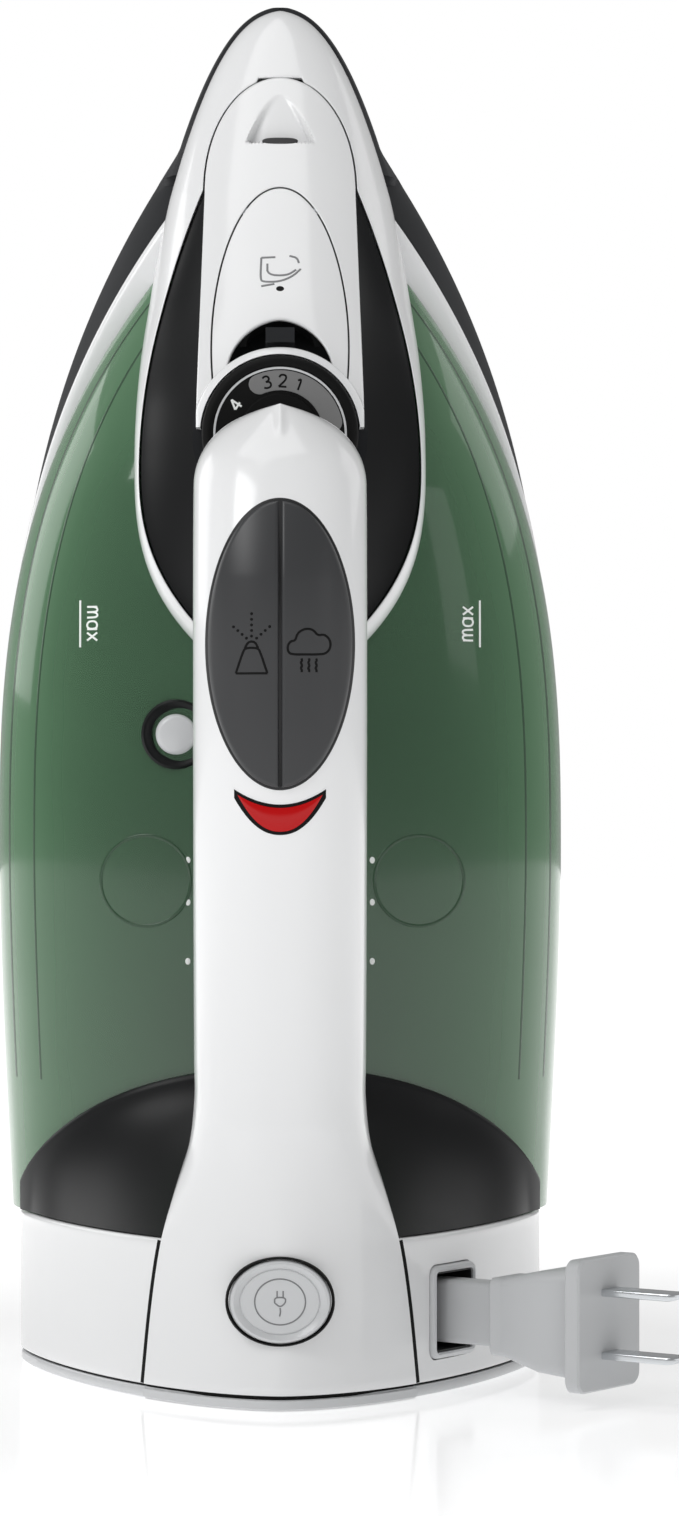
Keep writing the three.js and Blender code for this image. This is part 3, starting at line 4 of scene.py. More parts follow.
import bmesh
import bpy
import numpy as np
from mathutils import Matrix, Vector


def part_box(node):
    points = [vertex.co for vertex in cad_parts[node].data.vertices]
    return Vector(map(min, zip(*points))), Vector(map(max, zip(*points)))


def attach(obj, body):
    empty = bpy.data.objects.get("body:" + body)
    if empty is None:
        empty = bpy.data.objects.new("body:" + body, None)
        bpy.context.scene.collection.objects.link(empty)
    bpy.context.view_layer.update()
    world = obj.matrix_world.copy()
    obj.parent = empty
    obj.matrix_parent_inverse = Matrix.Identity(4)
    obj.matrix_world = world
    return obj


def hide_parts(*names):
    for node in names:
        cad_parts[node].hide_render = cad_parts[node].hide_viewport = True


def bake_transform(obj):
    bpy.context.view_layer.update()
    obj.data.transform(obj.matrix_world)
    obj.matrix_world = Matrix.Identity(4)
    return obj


bl_info = {
    "name": "Steam Iron With Cord Reel",
    "version": (1, 0, 0),
    "blender": (4, 5, 0),
    "location": "3D View > Sidebar > Steam Iron",
    "description": "Builds the shells, controls and plug of a steam iron standing on its heel",
    "category": "Object",
}

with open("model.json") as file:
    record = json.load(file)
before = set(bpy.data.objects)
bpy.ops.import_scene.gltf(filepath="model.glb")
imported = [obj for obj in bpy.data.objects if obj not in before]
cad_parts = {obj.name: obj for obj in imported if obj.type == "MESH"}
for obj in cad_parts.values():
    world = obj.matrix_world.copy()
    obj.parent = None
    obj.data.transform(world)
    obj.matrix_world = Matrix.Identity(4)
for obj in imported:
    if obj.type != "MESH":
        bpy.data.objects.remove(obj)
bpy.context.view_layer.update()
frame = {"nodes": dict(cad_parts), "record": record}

# Lengths below are millimetres. A place on the iron is (x across, h up from the sole, z towards the tip).
MM = 0.001
SOLE_Y = 75.0
LENGTH = 300.0
HEEL_DEPTH = 33.0
HEEL_HALF = 56.5
SEAM = 0.35


def place(x, h, z):
    """Points in metres: x as it is, y = 75 - h, z as it is, all divided by a thousand."""
    x, h, z = np.broadcast_arrays(np.asarray(x, float), np.asarray(h, float), np.asarray(z, float))
    return np.stack([x, SOLE_Y - h, z], axis=-1) * MM


# ---------------------------------------------------------------- curves and surfaces of the iron
def through(points):
    """A cubic through (station, value) points. The slope at a point is that of the line that joins
    its two neighbours, and the value is level past the ends."""
    zs, vs = np.array(points, float).T
    slopes = np.empty_like(vs)
    slopes[1:-1] = (vs[2:] - vs[:-2]) / (zs[2:] - zs[:-2])
    slopes[0] = (vs[1] - vs[0]) / (zs[1] - zs[0])
    slopes[-1] = (vs[-1] - vs[-2]) / (zs[-1] - zs[-2])

    def value(z):
        t = np.clip(z, zs[0], zs[-1])
        i = np.clip(np.searchsorted(zs, t) - 1, 0, len(zs) - 2)
        w = zs[i + 1] - zs[i]
        s = (t - zs[i]) / w
        level = vs[i] * (1 + 2 * s) * (1 - s) ** 2 + vs[i + 1] * s * s * (3 - 2 * s)
        return level + w * s * (1 - s) * (slopes[i] * (1 - s) - slopes[i + 1] * s)

    return value


def from_tip(points):
    """The same curve with its stations given as distances back from the tip."""
    return through([(LENGTH - d, v) for d, v in points][::-1])


def dome(u, p, q):
    """(1 - |u|^p)^(1/q): one in the middle, nothing at the edge."""
    return np.maximum(0.0, 1 - np.minimum(1.0, np.abs(u)) ** p) ** (1 / q)


def ease(t):
    """3t^2 - 2t^3 between 0 and 1, level outside."""
    t = np.clip(t, 0, 1)
    return t * t * (3 - 2 * t)


def body_half(z, short, most=61.8):
    """Half width: near the heel most - 3.1((110 - z)/77)^1.5, and ahead of station 110
    most(1 - ((z - 110)/(190 - short))^2.83)."""
    z = np.asarray(z, float)
    rear = most - 3.1 * (np.maximum(0, 110 - z) / 77) ** 1.5
    front = most * (1 - (np.maximum(0, z - 110) / (190 - short)) ** 2.83)
    return np.where(z <= 110, rear, np.maximum(0, front))


def tip_half(z):
    """Half width of the rounded tip: 22.6((300.3 - z)/32)^0.45."""
    return 22.6 * (np.maximum(0, LENGTH + 0.3 - z) / 32) ** 0.45


def skirt_half(z):
    """The wider of the body's taper and the rounded tip, ahead of 260."""
    return np.maximum(body_half(z, 4, 60.8), np.where(z > 260, tip_half(z), 0))


def skirt_top_half(z):
    """The skirt's upper edge, which closes 21 short of the tip and then follows the rounded tip."""
    return np.maximum(body_half(z, 21, 60.8), np.where(z > 260, tip_half(z) - 1.2, 0))


def band_half(z):
    """Half width of the white band."""
    return body_half(z, 21, 61.0)


def tank_half(z):
    """Half width of the tank."""
    return body_half(z, 34.5)


def tank_h(x, z):
    """38 + (crown - 38) dome(x / half, 2.8, 2.2), with a crown of 80 that falls ahead of 185."""
    crown = 80 - 30 * (np.maximum(0, z - 185) / 45) ** 2
    return 38 + (crown - 38) * dome(x / np.maximum(tank_half(z), 0.4), 2.8, 2.2)


def nose_half(z):
    """A teardrop about 197: 31(1 - (|z - 197|/reach)^power), and 24.3((298.5 - z)/43.5)^0.45 over the tip."""
    z = np.asarray(z, float)
    ahead = z > 197
    reach = np.where(ahead, 133.6, 55.0)
    power = np.where(ahead, 1.84, 3.1)
    middle = 31 * np.maximum(0, 1 - (np.abs(z - 197) / reach) ** power)
    tip = 24.3 * (np.maximum(0, 298.5 - z) / 43.5) ** 0.45
    return np.where(z > 255, tip, middle)


def leaf_half(z):
    """The dark leaf: 29.5(1 - (|z - 193|/reach)^power), reach 96 ahead and 48.5 behind."""
    z = np.asarray(z, float)
    ahead = z > 193
    reach = np.where(ahead, 96.0, 48.5)
    power = np.where(ahead, 1.83, 2.47)
    return 29.5 * np.maximum(0, 1 - (np.abs(z - 193) / reach) ** power)


def cover_half(z):
    """The nose cover: 16.4 wide at its door's front, 1.3 more at 198, and rounded off from 254 to 281."""
    z = np.asarray(z, float)
    side = 16.4 + 1.3 * np.clip(254 - z, 0, 56) / 56
    t = np.clip((z - 254) / 27, 0, 1)
    return side * np.sqrt(np.maximum(0, 1 - t**2.2))


nose_edge = from_tip([(0, 17), (25, 26), (51, 36.5), (69, 44.5), (85, 61), (105, 74), (125, 79), (158, 81)])
nose_ridge = from_tip(
    [(0, 19), (4, 26), (12, 33), (25, 42.5), (45, 58), (65, 74), (85, 89.5), (95, 95), (110, 94), (158, 88)]
)


def nose_h(x, z):
    """edge + (ridge - edge) dome(x / half, 2.2, 1.8)."""
    low = nose_edge(z)
    return low + (nose_ridge(z) - low) * dome(x / np.maximum(nose_half(z), 0.4), 2.2, 1.8)


saddle_middle = from_tip(
    [(47, 54), (65, 66), (85, 80), (95, 85), (110, 88.5), (125, 87.5), (140, 84.5), (156, 82)]
)


def saddle_h(x, z):
    """From 1.5 under the nose at the leaf's edge to its own middle height, as v^1.5."""
    half = leaf_half(z)
    outer = nose_h(half, z) - 1.5
    v = np.clip((half - np.abs(x)) / np.maximum(half - 14, 1), 0, 1)
    return outer + (saddle_middle(z) - outer) * v**1.5


def arch(x):
    """The heel's arch: 50 + 79 dome(x / 56.5, 1.7, 1.3)."""
    return 50 + 79 * dome(x / HEEL_HALF, 1.7, 1.3)


def rear_saddle_edge(x):
    """Front edge of the rear saddle: 35 + 30.5 dome(x / 57.5, 2.4, 1.6)."""
    return 35 + 30.5 * dome(x / (HEEL_HALF + 1), 2.4, 1.6)


def rear_saddle_h(x, z):
    """Falls from the arch to just over the tank as (1 - t)^1.8."""
    t = np.clip((z - HEEL_DEPTH) / (rear_saddle_edge(x) - HEEL_DEPTH), 0, 1)
    low = tank_h(x, z) + 2.1
    return low + np.maximum(0, arch(x) - 0.4 - low) * (1 - t) ** 1.8


flare = through([(0, 28.2), (20, 26.2), (33, 24.2), (42, 21.7), (52, 18.6), (62, 17.4), (70, 17.4)])
handle_top = through(
    [(0, 129.5), (20, 129.3), (40, 131), (60, 135.5), (85, 142.5),
     (115, 148), (145, 150), (170, 148.5), (190, 141), (202, 130)]
)
parting = through(
    [(62, 84), (68, 97), (78, 113), (95, 125), (120, 131.5), (150, 133), (175, 131), (190, 124.5), (202, 117)]
)
grip_under = through(
    [(64, 82), (69, 99), (76, 111), (88, 116), (110, 117.5), (150, 118), (176, 117), (190, 113), (202, 111)]
)
foot_base = through([(0, 105), (33, 105), (36, 84.5), (62, 84)])


def handle_half(z):
    """The handle's half width: the flare, rounded off as a half circle over its last 16."""
    into = (z - 186) / 16
    return np.where(into > 0, 17.4 * np.sqrt(np.maximum(0, 1 - into * into)), flare(z))


def handle_h(x, z):
    """top - 17(1 - dome(x / half, 2.4, 2)), laid on the heel's arch behind 57."""
    over = handle_top(z) - 17 * (1 - dome(x / np.maximum(handle_half(z), 0.4), 2.4, 2))
    share = np.clip((z - HEEL_DEPTH) / 24, 0, 1)
    return share * over + (1 - share) * np.maximum(arch(x) + 0.9, 107)


def handle_shell_h(x, z):
    """The handle's top with its pointer: a ridge 1.1 tall that dies away 9 behind the front end."""
    ridge = 1.1 * np.exp(-((np.asarray(x) / 0.9) ** 2)) * ease((z - 193.5) / 5)
    return handle_h(x, z) + ridge


# ---------------------------------------------------------------- solids from grids of points
def stations(a, b, n):
    """n + 1 stations from a to b, closer together at both ends as half a cosine wave."""
    return a + (b - a) * (1 - np.cos(np.pi * np.linspace(0, 1, n + 1))) / 2


def spans(n):
    """n + 1 values from -1 to 1, closer together at the ends as a sine."""
    return np.sin(np.pi / 2 * np.linspace(-1, 1, n + 1))


def rounded_drop(d, r):
    """How far a rounded edge of radius r has fallen at distance d from it: r - sqrt(r^2 - (r - d)^2)."""
    inside = np.clip(d, 0, r)
    return r - np.sqrt(np.maximum(0, r * r - (r - inside) ** 2))


def edge_distance(x, half, z):
    """Distance to an outline |x| = half(z): (half - |x|) / sqrt(1 + half'^2)."""
    slope = np.gradient(half[:, 0], z[:, 0])[:, None]
    return (half - np.abs(x)) / np.sqrt(1 + slope**2)


def slab(top, bottom, loop=False):
    """A closed solid between two grids of the same shape: the grids, a wall down each side, and,
    unless the rows close on themselves, a wall at each end."""
    around = np.concatenate([top, bottom[:, ::-1]], axis=1)
    grids = [(around, loop, True)]
    if not loop:
        grids += [(np.stack([g, h]), False, False) for g, h in ((top[0], bottom[0]), (top[-1], bottom[-1]))]
    return grids


def sleeve(rings):
    """A closed body through rings of points: each ring closes on itself, and each end on its middle."""
    first = np.repeat(rings[:1].mean(axis=1, keepdims=True), rings.shape[1], axis=1)
    last = np.repeat(rings[-1:].mean(axis=1, keepdims=True), rings.shape[1], axis=1)
    return [(np.concatenate([first, rings, last]), False, True)]


def lathe(centre, profile, around=96, squeeze=(1.0, 1.0)):
    """A profile of (radius, level) points carried round an axis along h through a centre."""
    r, level = np.array(profile, float).T
    a = np.linspace(0, 2 * np.pi, around, endpoint=False)
    u = r[:, None] * np.cos(a) * squeeze[0]
    v = r[:, None] * np.sin(a) * squeeze[1]
    w = np.broadcast_to(level[:, None], u.shape)
    x0, h0, z0 = centre
    return [(place(x0 + u, h0 + w, z0 + v), True, True)]


def lay_faces(m, n, rows_close, columns_close):
    """The quads of an m by n grid of points, as four indices each."""
    i = np.arange(m if rows_close else m - 1)
    j = np.arange(n if columns_close else n - 1)
    i, j = np.meshgrid(i, j, indexing="ij")
    a = i * n + j
    b = i * n + (j + 1) % n
    c = ((i + 1) % m) * n + (j + 1) % n
    d = ((i + 1) % m) * n + j
    return np.stack([a, b, c, d], axis=-1).reshape(-1, 4)


def make_piece(name, grids, body, slot, material, *nodes, crease=38.0, weld=2e-6):
    """One closed mesh from grids: points that coincide are merged, faces turned outwards, and edges
    sharper than the crease kept sharp. It rides on a body and stands for the CAD nodes named."""
    points, faces, start = [], [], 0
    for grid, rows_close, columns_close in grids:
        m, n = grid.shape[:2]
        points.append(grid.reshape(-1, 3))
        faces.append(lay_faces(m, n, rows_close, columns_close) + start)
        start += m * n
    points, faces = np.concatenate(points), np.concatenate(faces)
    mesh = bpy.data.meshes.new(name)
    mesh.vertices.add(len(points))
    mesh.vertices.foreach_set("co", points.astype(np.float32).ravel())
    mesh.loops.add(faces.size)
    mesh.loops.foreach_set("vertex_index", faces.astype(np.int32).ravel())
    mesh.polygons.add(len(faces))
    mesh.polygons.foreach_set("loop_start", np.arange(0, faces.size, 4, dtype=np.int32))
    mesh.update(calc_edges=True)
    work = bmesh.new()
    work.from_mesh(mesh)
    bmesh.ops.remove_doubles(work, verts=work.verts, dist=weld)
    bmesh.ops.dissolve_degenerate(work, edges=work.edges, dist=weld / 4)
    bmesh.ops.recalc_face_normals(work, faces=work.faces)
    work.to_mesh(mesh)
    work.free()
    return finish_piece(name, mesh, body, slot, material, *nodes, crease=crease)


def finish_piece(name, mesh, body, slot, material, *nodes, crease=38.0):
    """Shades a mesh smooth up to its creases, gives it its material, and lets it ride on its body."""
    mesh.polygons.foreach_set("use_smooth", np.ones(len(mesh.polygons), bool))
    mesh.set_sharp_from_angle(angle=math.radians(crease))
    mesh.materials.append(material)
    piece = bpy.data.objects.new(name, mesh)
    bpy.context.scene.collection.objects.link(piece)
    if nodes:
        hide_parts(*nodes)
    if body:
        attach(piece, body)
    return piece


def carve(piece, tools):
    """Cuts closed bodies, each a list of grids, out of a piece."""
    for k, tool in enumerate(tools):
        cutter = make_piece(f"{piece.name}_tool_{k}", tool, None, "white_shell", piece.data.materials[0])
        change = piece.modifiers.new("opening", "BOOLEAN")
        change.operation = "DIFFERENCE"
        change.solver = "EXACT"
        change.object = cutter
        bpy.context.view_layer.update()
        seen = piece.evaluated_get(bpy.context.evaluated_depsgraph_get())
        carved = bpy.data.meshes.new_from_object(seen)
        piece.modifiers.clear()
        old = piece.data
        piece.data = carved
        bpy.data.meshes.remove(old)
        bpy.data.objects.remove(cutter)
    piece.data.polygons.foreach_set("use_smooth", np.ones(len(piece.data.polygons), bool))
    piece.data.set_sharp_from_angle(angle=math.radians(38))
    return piece


RAISED_ROOT = 0.3  # how deep raised lines and dots reach into their surface


def strokes(paths, width, proud, surface, round_steps=2):
    """Raised lines on a surface: each path of (x, z) points is smoothed, and a half-round section,
    width across and proud tall, is carried along it on the surface's height."""
    grids = []
    across = np.array([-0.5, -0.38, -0.2, 0.0, 0.2, 0.38, 0.5])
    rise = np.array([0.0, 0.62, 0.92, 1.0, 0.92, 0.62, 0.0])
    for path in paths:
        points = np.array(path, float)
        for _ in range(round_steps if len(points) > 2 else 0):
            a, b = points[:-1], points[1:]
            mid = np.stack([0.75 * a + 0.25 * b, 0.25 * a + 0.75 * b], axis=1).reshape(-1, 2)
            points = np.concatenate([points[:1], mid, points[-1:]])
        if len(points) == 2:
            points = points[0] + (points[1] - points[0]) * np.linspace(0, 1, 7)[:, None]
        steps = np.gradient(points, axis=0)
        steps /= np.maximum(np.linalg.norm(steps, axis=1, keepdims=True), 1e-9)
        side = np.stack([-steps[:, 1], steps[:, 0]], axis=1)
        x = points[:, 0, None] + side[:, 0, None] * across * width
        z = points[:, 1, None] + side[:, 1, None] * across * width
        level = surface(x, z)
        top = place(x, level + proud * rise, z)
        bottom = place(x, level - RAISED_ROOT, z)
        grids += slab(top, bottom)
    return grids


def disc(centre, radius, proud, surface, squeeze=1.0, rings=6, around=40):
    """A round raised dot on a surface: rings of points at the surface's height plus a rounded rise."""
    t = np.linspace(0, 1, rings + 1)
    a = np.linspace(0, 2 * np.pi, around, endpoint=False)
    x = centre[0] + radius * t[:, None] * np.cos(a)
    z = centre[1] + radius * squeeze * t[:, None] * np.sin(a)
    rise = proud * np.sqrt(np.maximum(0, 1 - t[:, None] ** 4))
    top = place(x, surface(x, z) + rise, z)
    under = place(x[-1], surface(x[-1], z[-1]) - RAISED_ROOT, z[-1])[None]
    middle = np.repeat(under.mean(axis=1, keepdims=True), around, axis=1)
    return [(np.concatenate([top, under, middle]), False, True)]


# ---------------------------------------------------------------- finishes
def socket(group, name, kind, direction, default=None):
    """One named socket on a node group's interface."""
    made = group.interface.new_socket(name=name, in_out=direction, socket_type=kind)
    if default is not None:
        made.default_value = default
    return made


def moulding_group():
    """Moulded plastic: slow cloudy colour change, fine spark-eroded grain for the bump, and rubbed
    patches that are a little smoother. Puts out a colour, a roughness and a height."""
    group = bpy.data.node_groups.get("moulded surface")
    if group:
        return group
    group = bpy.data.node_groups.new("moulded surface", "ShaderNodeTree")
    socket(group, "Colour", "NodeSocketColor", "INPUT", (0.8, 0.8, 0.8, 1))
    socket(group, "Cloud", "NodeSocketFloat", "INPUT", 0.04)
    socket(group, "Roughness", "NodeSocketFloat", "INPUT", 0.3)
    socket(group, "Rubbed", "NodeSocketFloat", "INPUT", 0.06)
    socket(group, "Grain scale", "NodeSocketFloat", "INPUT", 2500.0)
    socket(group, "Grain share", "NodeSocketFloat", "INPUT", 1.0)
    socket(group, "Colour", "NodeSocketColor", "OUTPUT")
    socket(group, "Roughness", "NodeSocketFloat", "OUTPUT")
    socket(group, "Height", "NodeSocketFloat", "OUTPUT")
    n, link = group.nodes, group.links
    inside, out = n.new("NodeGroupInput"), n.new("NodeGroupOutput")
    where = n.new("ShaderNodeTexCoord")
    cloud = n.new("ShaderNodeTexNoise")
    cloud.inputs["Scale"].default_value = 28
    cloud.inputs["Detail"].default_value = 3
    grain = n.new("ShaderNodeTexNoise")
    grain.inputs["Detail"].default_value = 2
    rubbed = n.new("ShaderNodeTexNoise")
    rubbed.inputs["Scale"].default_value = 90
    rubbed.inputs["Detail"].default_value = 4
    for texture in (cloud, grain, rubbed):
        link.new(where.outputs["Object"], texture.inputs["Vector"])
    link.new(inside.outputs["Grain scale"], grain.inputs["Scale"])
    spread = n.new("ShaderNodeMapRange")
    spread.inputs["From Min"].default_value = 0.3
    spread.inputs["From Max"].default_value = 0.7
    link.new(cloud.outputs["Fac"], spread.inputs["Value"])
    strength = n.new("ShaderNodeMath")
    strength.operation = "MULTIPLY"
    link.new(spread.outputs["Result"], strength.inputs[0])
    link.new(inside.outputs["Cloud"], strength.inputs[1])
    tint = n.new("ShaderNodeMix")
    tint.data_type = "RGBA"
    tint.blend_type = "MULTIPLY"
    tint.inputs[7].default_value = (0.1, 0.1, 0.12, 1)
    link.new(strength.outputs[0], tint.inputs[0])
    link.new(inside.outputs["Colour"], tint.inputs[6])
    link.new(tint.outputs[2], out.inputs["Colour"])
    centred = n.new("ShaderNodeMath")
    centred.operation = "SUBTRACT"
    centred.inputs[1].default_value = 0.5
    link.new(rubbed.outputs["Fac"], centred.inputs[0])
    amount = n.new("ShaderNodeMath")
    amount.operation = "MULTIPLY_ADD"
    link.new(centred.outputs[0], amount.inputs[0])
    link.new(inside.outputs["Rubbed"], amount.inputs[1])
    link.new(inside.outputs["Roughness"], amount.inputs[2])
    link.new(amount.outputs[0], out.inputs["Roughness"])
    height = n.new("ShaderNodeMath")
    height.operation = "MULTIPLY"
    link.new(grain.outputs["Fac"], height.inputs[0])
    link.new(inside.outputs["Grain share"], height.inputs[1])
    link.new(height.outputs[0], out.inputs["Height"])
    return group


def moulded(
    name, colour, roughness, cloud=0.04, rubbed=0.06, grain=2500.0, bump=0.02, depth=0.00002, **shader
):
    """A plastic finish: the moulded surface group drives the Principled shader's colour, roughness and
    bump. Keyword values are set on the shader's own sockets."""
    made = bpy.data.materials.get(name)
    if made:
        return made
    made = bpy.data.materials.new(name)
    made.use_nodes = True
    n, link = made.node_tree.nodes, made.node_tree.links
    bsdf = n["Principled BSDF"]
    surface = n.new("ShaderNodeGroup")
    surface.node_tree = moulding_group()
    surface.inputs["Colour"].default_value = (*colour[:3], 1)
    surface.inputs["Cloud"].default_value = cloud
    surface.inputs["Roughness"].default_value = roughness
    surface.inputs["Rubbed"].default_value = rubbed
    surface.inputs["Grain scale"].default_value = grain
    link.new(surface.outputs["Colour"], bsdf.inputs["Base Color"])
    link.new(surface.outputs["Roughness"], bsdf.inputs["Roughness"])
    relief = n.new("ShaderNodeBump")
    relief.inputs["Strength"].default_value = bump
    relief.inputs["Distance"].default_value = depth
    link.new(surface.outputs["Height"], relief.inputs["Height"])
    link.new(relief.outputs["Normal"], bsdf.inputs["Normal"])
    for key, value in shader.items():
        bsdf.inputs[key.replace("_", " ").title().replace("Ior", "IOR")].default_value = value
    return made


def brushed_group():
    """Drawn metal: long fine streaks along z from a stretched noise, for the roughness and height."""
    group = bpy.data.node_groups.get("drawn metal")
    if group:
        return group
    group = bpy.data.node_groups.new("drawn metal", "ShaderNodeTree")
    socket(group, "Roughness", "NodeSocketFloat", "INPUT", 0.25)
    socket(group, "Streaks", "NodeSocketFloat", "INPUT", 0.12)
    socket(group, "Roughness", "NodeSocketFloat", "OUTPUT")
    socket(group, "Height", "NodeSocketFloat", "OUTPUT")
    n, link = group.nodes, group.links
    inside, out = n.new("NodeGroupInput"), n.new("NodeGroupOutput")
    where = n.new("ShaderNodeTexCoord")
    stretch = n.new("ShaderNodeMapping")
    stretch.inputs["Scale"].default_value = (900, 900, 12)
    noise = n.new("ShaderNodeTexNoise")
    noise.inputs["Scale"].default_value = 1
    noise.inputs["Detail"].default_value = 3
    link.new(where.outputs["Object"], stretch.inputs["Vector"])
    link.new(stretch.outputs["Vector"], noise.inputs["Vector"])
    centred = n.new("ShaderNodeMath")
    centred.operation = "SUBTRACT"
    centred.inputs[1].default_value = 0.5
    link.new(noise.outputs["Fac"], centred.inputs[0])
    rough = n.new("ShaderNodeMath")
    rough.operation = "MULTIPLY_ADD"
    link.new(centred.outputs[0], rough.inputs[0])
    link.new(inside.outputs["Streaks"], rough.inputs[1])
    link.new(inside.outputs["Roughness"], rough.inputs[2])
    link.new(rough.outputs[0], out.inputs["Roughness"])
    link.new(noise.outputs["Fac"], out.inputs["Height"])
    return group


def metal(name, colour, roughness, streaks=0.12, bump=0.05):
    """A metal finish: drawn streaks in its roughness and bump."""
    made = bpy.data.materials.get(name)
    if made:
        return made
    made = bpy.data.materials.new(name)
    made.use_nodes = True
    n, link = made.node_tree.nodes, made.node_tree.links
    bsdf = n["Principled BSDF"]
    bsdf.inputs["Base Color"].default_value = (*colour[:3], 1)
    bsdf.inputs["Metallic"].default_value = 1.0
    streak = n.new("ShaderNodeGroup")
    streak.node_tree = brushed_group()
    streak.inputs["Roughness"].default_value = roughness
    streak.inputs["Streaks"].default_value = streaks
    link.new(streak.outputs["Roughness"], bsdf.inputs["Roughness"])
    relief = n.new("ShaderNodeBump")
    relief.inputs["Strength"].default_value = bump
    relief.inputs["Distance"].default_value = 0.00003
    link.new(streak.outputs["Height"], relief.inputs["Height"])
    link.new(relief.outputs["Normal"], bsdf.inputs["Normal"])
    return made


def paint_edge_sheen(made):
    """Painted highlight on tinted clear plastic: the colour is mixed with a lighter green as the facing
    weight grows, so the wall is painted paler where it turns away from the view."""
    n, link = made.node_tree.nodes, made.node_tree.links
    if "facing" in n:
        return made
    bsdf = n["Principled BSDF"]
    colour = bsdf.inputs["Base Color"].links[0].from_socket
    facing = n.new("ShaderNodeLayerWeight")
    facing.name = "facing"
    facing.inputs["Blend"].default_value = 0.35
    pale = n.new("ShaderNodeMix")
    pale.data_type = "RGBA"
    # painted highlight colour, mixed in where the wall is seen at a grazing angle
    pale.inputs[7].default_value = (0.2, 0.42, 0.22, 1)
    link.new(facing.outputs["Facing"], pale.inputs[0])
    link.new(colour, pale.inputs[6])
    link.new(pale.outputs[2], bsdf.inputs["Base Color"])
    return made


def finish(kind):
    """The iron's finishes by name, from the colours in the sidebar."""
    c = bpy.context.scene.iron_colours
    if kind == "white":
        return moulded(
            "gloss white shell", c.white, 0.2, 0.015, 0.05, 900, 0.03, coat_weight=0.35, coat_roughness=0.05
        )
    if kind == "charcoal":
        return moulded("charcoal skirt", c.charcoal, 0.5, 0.1, 0.1, 2600, 0.1, specular_ior_level=0.12)
    if kind == "black":
        return moulded("black saddle", c.black, 0.38, 0.12, 0.08, 2600, 0.1, specular_ior_level=0.22)
    if kind == "grip":
        return moulded("soft dark grip", c.charcoal, 0.55, 0.12, 0.08, 1800, 0.25, 0.00005)
    if kind == "button":
        return moulded("graphite buttons", c.button, 0.38, 0.08, 0.08, 2400, 0.1)
    if kind == "green":
        # the tank's green carries a painted highlight, paler where its wall turns away
        return paint_edge_sheen(moulded(
            "clear green tank", c.green, 0.1, 0.1, 0.04, 60, 0.01, 0.0001,
            alpha=0.8, coat_weight=0.4, coat_roughness=0.04,
        ))
    if kind == "line":
        return moulded("moulded tank line", tuple(0.6 * v for v in c.green), 0.2, 0.05)
    # Painted shade: near-black for the shade inside the spray slot, in the gap round the thumb buttons and
    # deep in the plug pocket.
    if kind == "dark":
        return moulded("painted recess shade", (0.006, 0.006, 0.007), 0.5, 0.1)
    if kind == "grey":
        return moulded("grey number band", c.grey, 0.4, 0.05)
    if kind == "pale":
        return moulded("pale grey cap", c.pale, 0.3, 0.03, 0.05, 1500, 0.05, coat_weight=0.2)
    if kind == "ink":
        return moulded("printed ink", (0.003, 0.003, 0.003), 0.6, 0.1, specular_ior_level=0.15)
    if kind == "white ink":
        return moulded("white print", (0.9, 0.92, 0.9), 0.45, 0.03)
    # Painted shade: the raised white lines of the moulded symbols are coloured dark grey for the shade along
    # their relief.
    if kind == "emboss":
        return moulded("embossed line painted shade", (0.2, 0.205, 0.21), 0.35, 0.03)
    if kind == "plug":
        return moulded("pale plug moulding", c.plug, 0.42, 0.05, 0.08, 1200, 0.12)
    if kind == "cord":
        return moulded("soft cord sheath", c.plug, 0.55, 0.06, 0.08, 1600, 0.2)
    if kind == "lens":
        return moulded(
            "red lamp lens", c.lens, 0.2, 0.2, 0.02, 300, 0.05, specular_ior_level=0.25,
            emission_color=(0.9, 0.0, 0.0, 1), emission_strength=0.3,
        )
    if kind == "board":
        return moulded("circuit board", (0.03, 0.16, 0.08), 0.5, 0.3, 0.1, 700, 0.2)
    if kind == "brass":
        return metal("brass rods", (0.66, 0.48, 0.2), 0.3)
    if kind == "cast":
        return metal("cast aluminium", (0.5, 0.51, 0.52), 0.5, 0.3, 0.3)
    return metal("polished steel", (0.66, 0.68, 0.7), 0.24, 0.14, 0.06)


# ---------------------------------------------------------------- plans of the panels
def plan_skin(half, zs, across, top, roll, thick=None, base=None):
    """A panel over |x| < half(z): its height is top(x, z) less a rounded drop near its outline. It is
    thick all over, or goes down to base(x, z)."""
    z = zs[:, None] + np.zeros(across + 1)
    half_here = np.maximum(half(z), 0)
    x = half_here * spans(across)
    d = edge_distance(x, half_here, z)
    h = top(x, z) - rounded_drop(d, roll)
    low = h - thick if base is None else base(x, z)
    return slab(place(x, h, z), place(x, low, z))


def even(points, n):
    """n + 1 points along a polyline, evenly spaced along its length."""
    points = np.asarray(points, float)
    steps = np.linalg.norm(np.diff(points, axis=0), axis=1)
    run = np.concatenate([[0], np.cumsum(steps)])
    want = np.linspace(0, run[-1], n + 1)
    return np.stack([np.interp(want, run, points[:, k]) for k in range(2)], axis=1)


def both_sides(right):
    """A right half outline from rear to apex, carried on down the left side."""
    left = right[::-1][1:] * [-1, 1]
    return np.concatenate([right, left])


def band(outer, inner, across, top, thick, roll_out=0.5, roll_in=0.4, loop=False):
    """A panel between two outlines with as many points each: straight lines join them, its height is
    top(x, z) less a rounded drop at both edges."""
    s = (1 - np.cos(np.pi * np.linspace(0, 1, across + 1))) / 2
    gap = np.linalg.norm(outer - inner, axis=1)[:, None]
    x = inner[:, 0, None] + (outer - inner)[:, 0, None] * s
    z = inner[:, 1, None] + (outer - inner)[:, 1, None] * s
    h = top(x, z) - rounded_drop(gap * (1 - s), roll_out) - rounded_drop(gap * s, roll_in)
    return slab(place(x, h, z), place(x, h - thick, z), loop)


def outline(half, a, b, n=400):
    """The right half of |x| = half(z) from a to b, with stations closer together at both ends."""
    zs = stations(a, b, n)
    return np.stack([half(zs), zs], axis=1)


DIAL_Z = 198.0
DOOR_TIP = 254.0


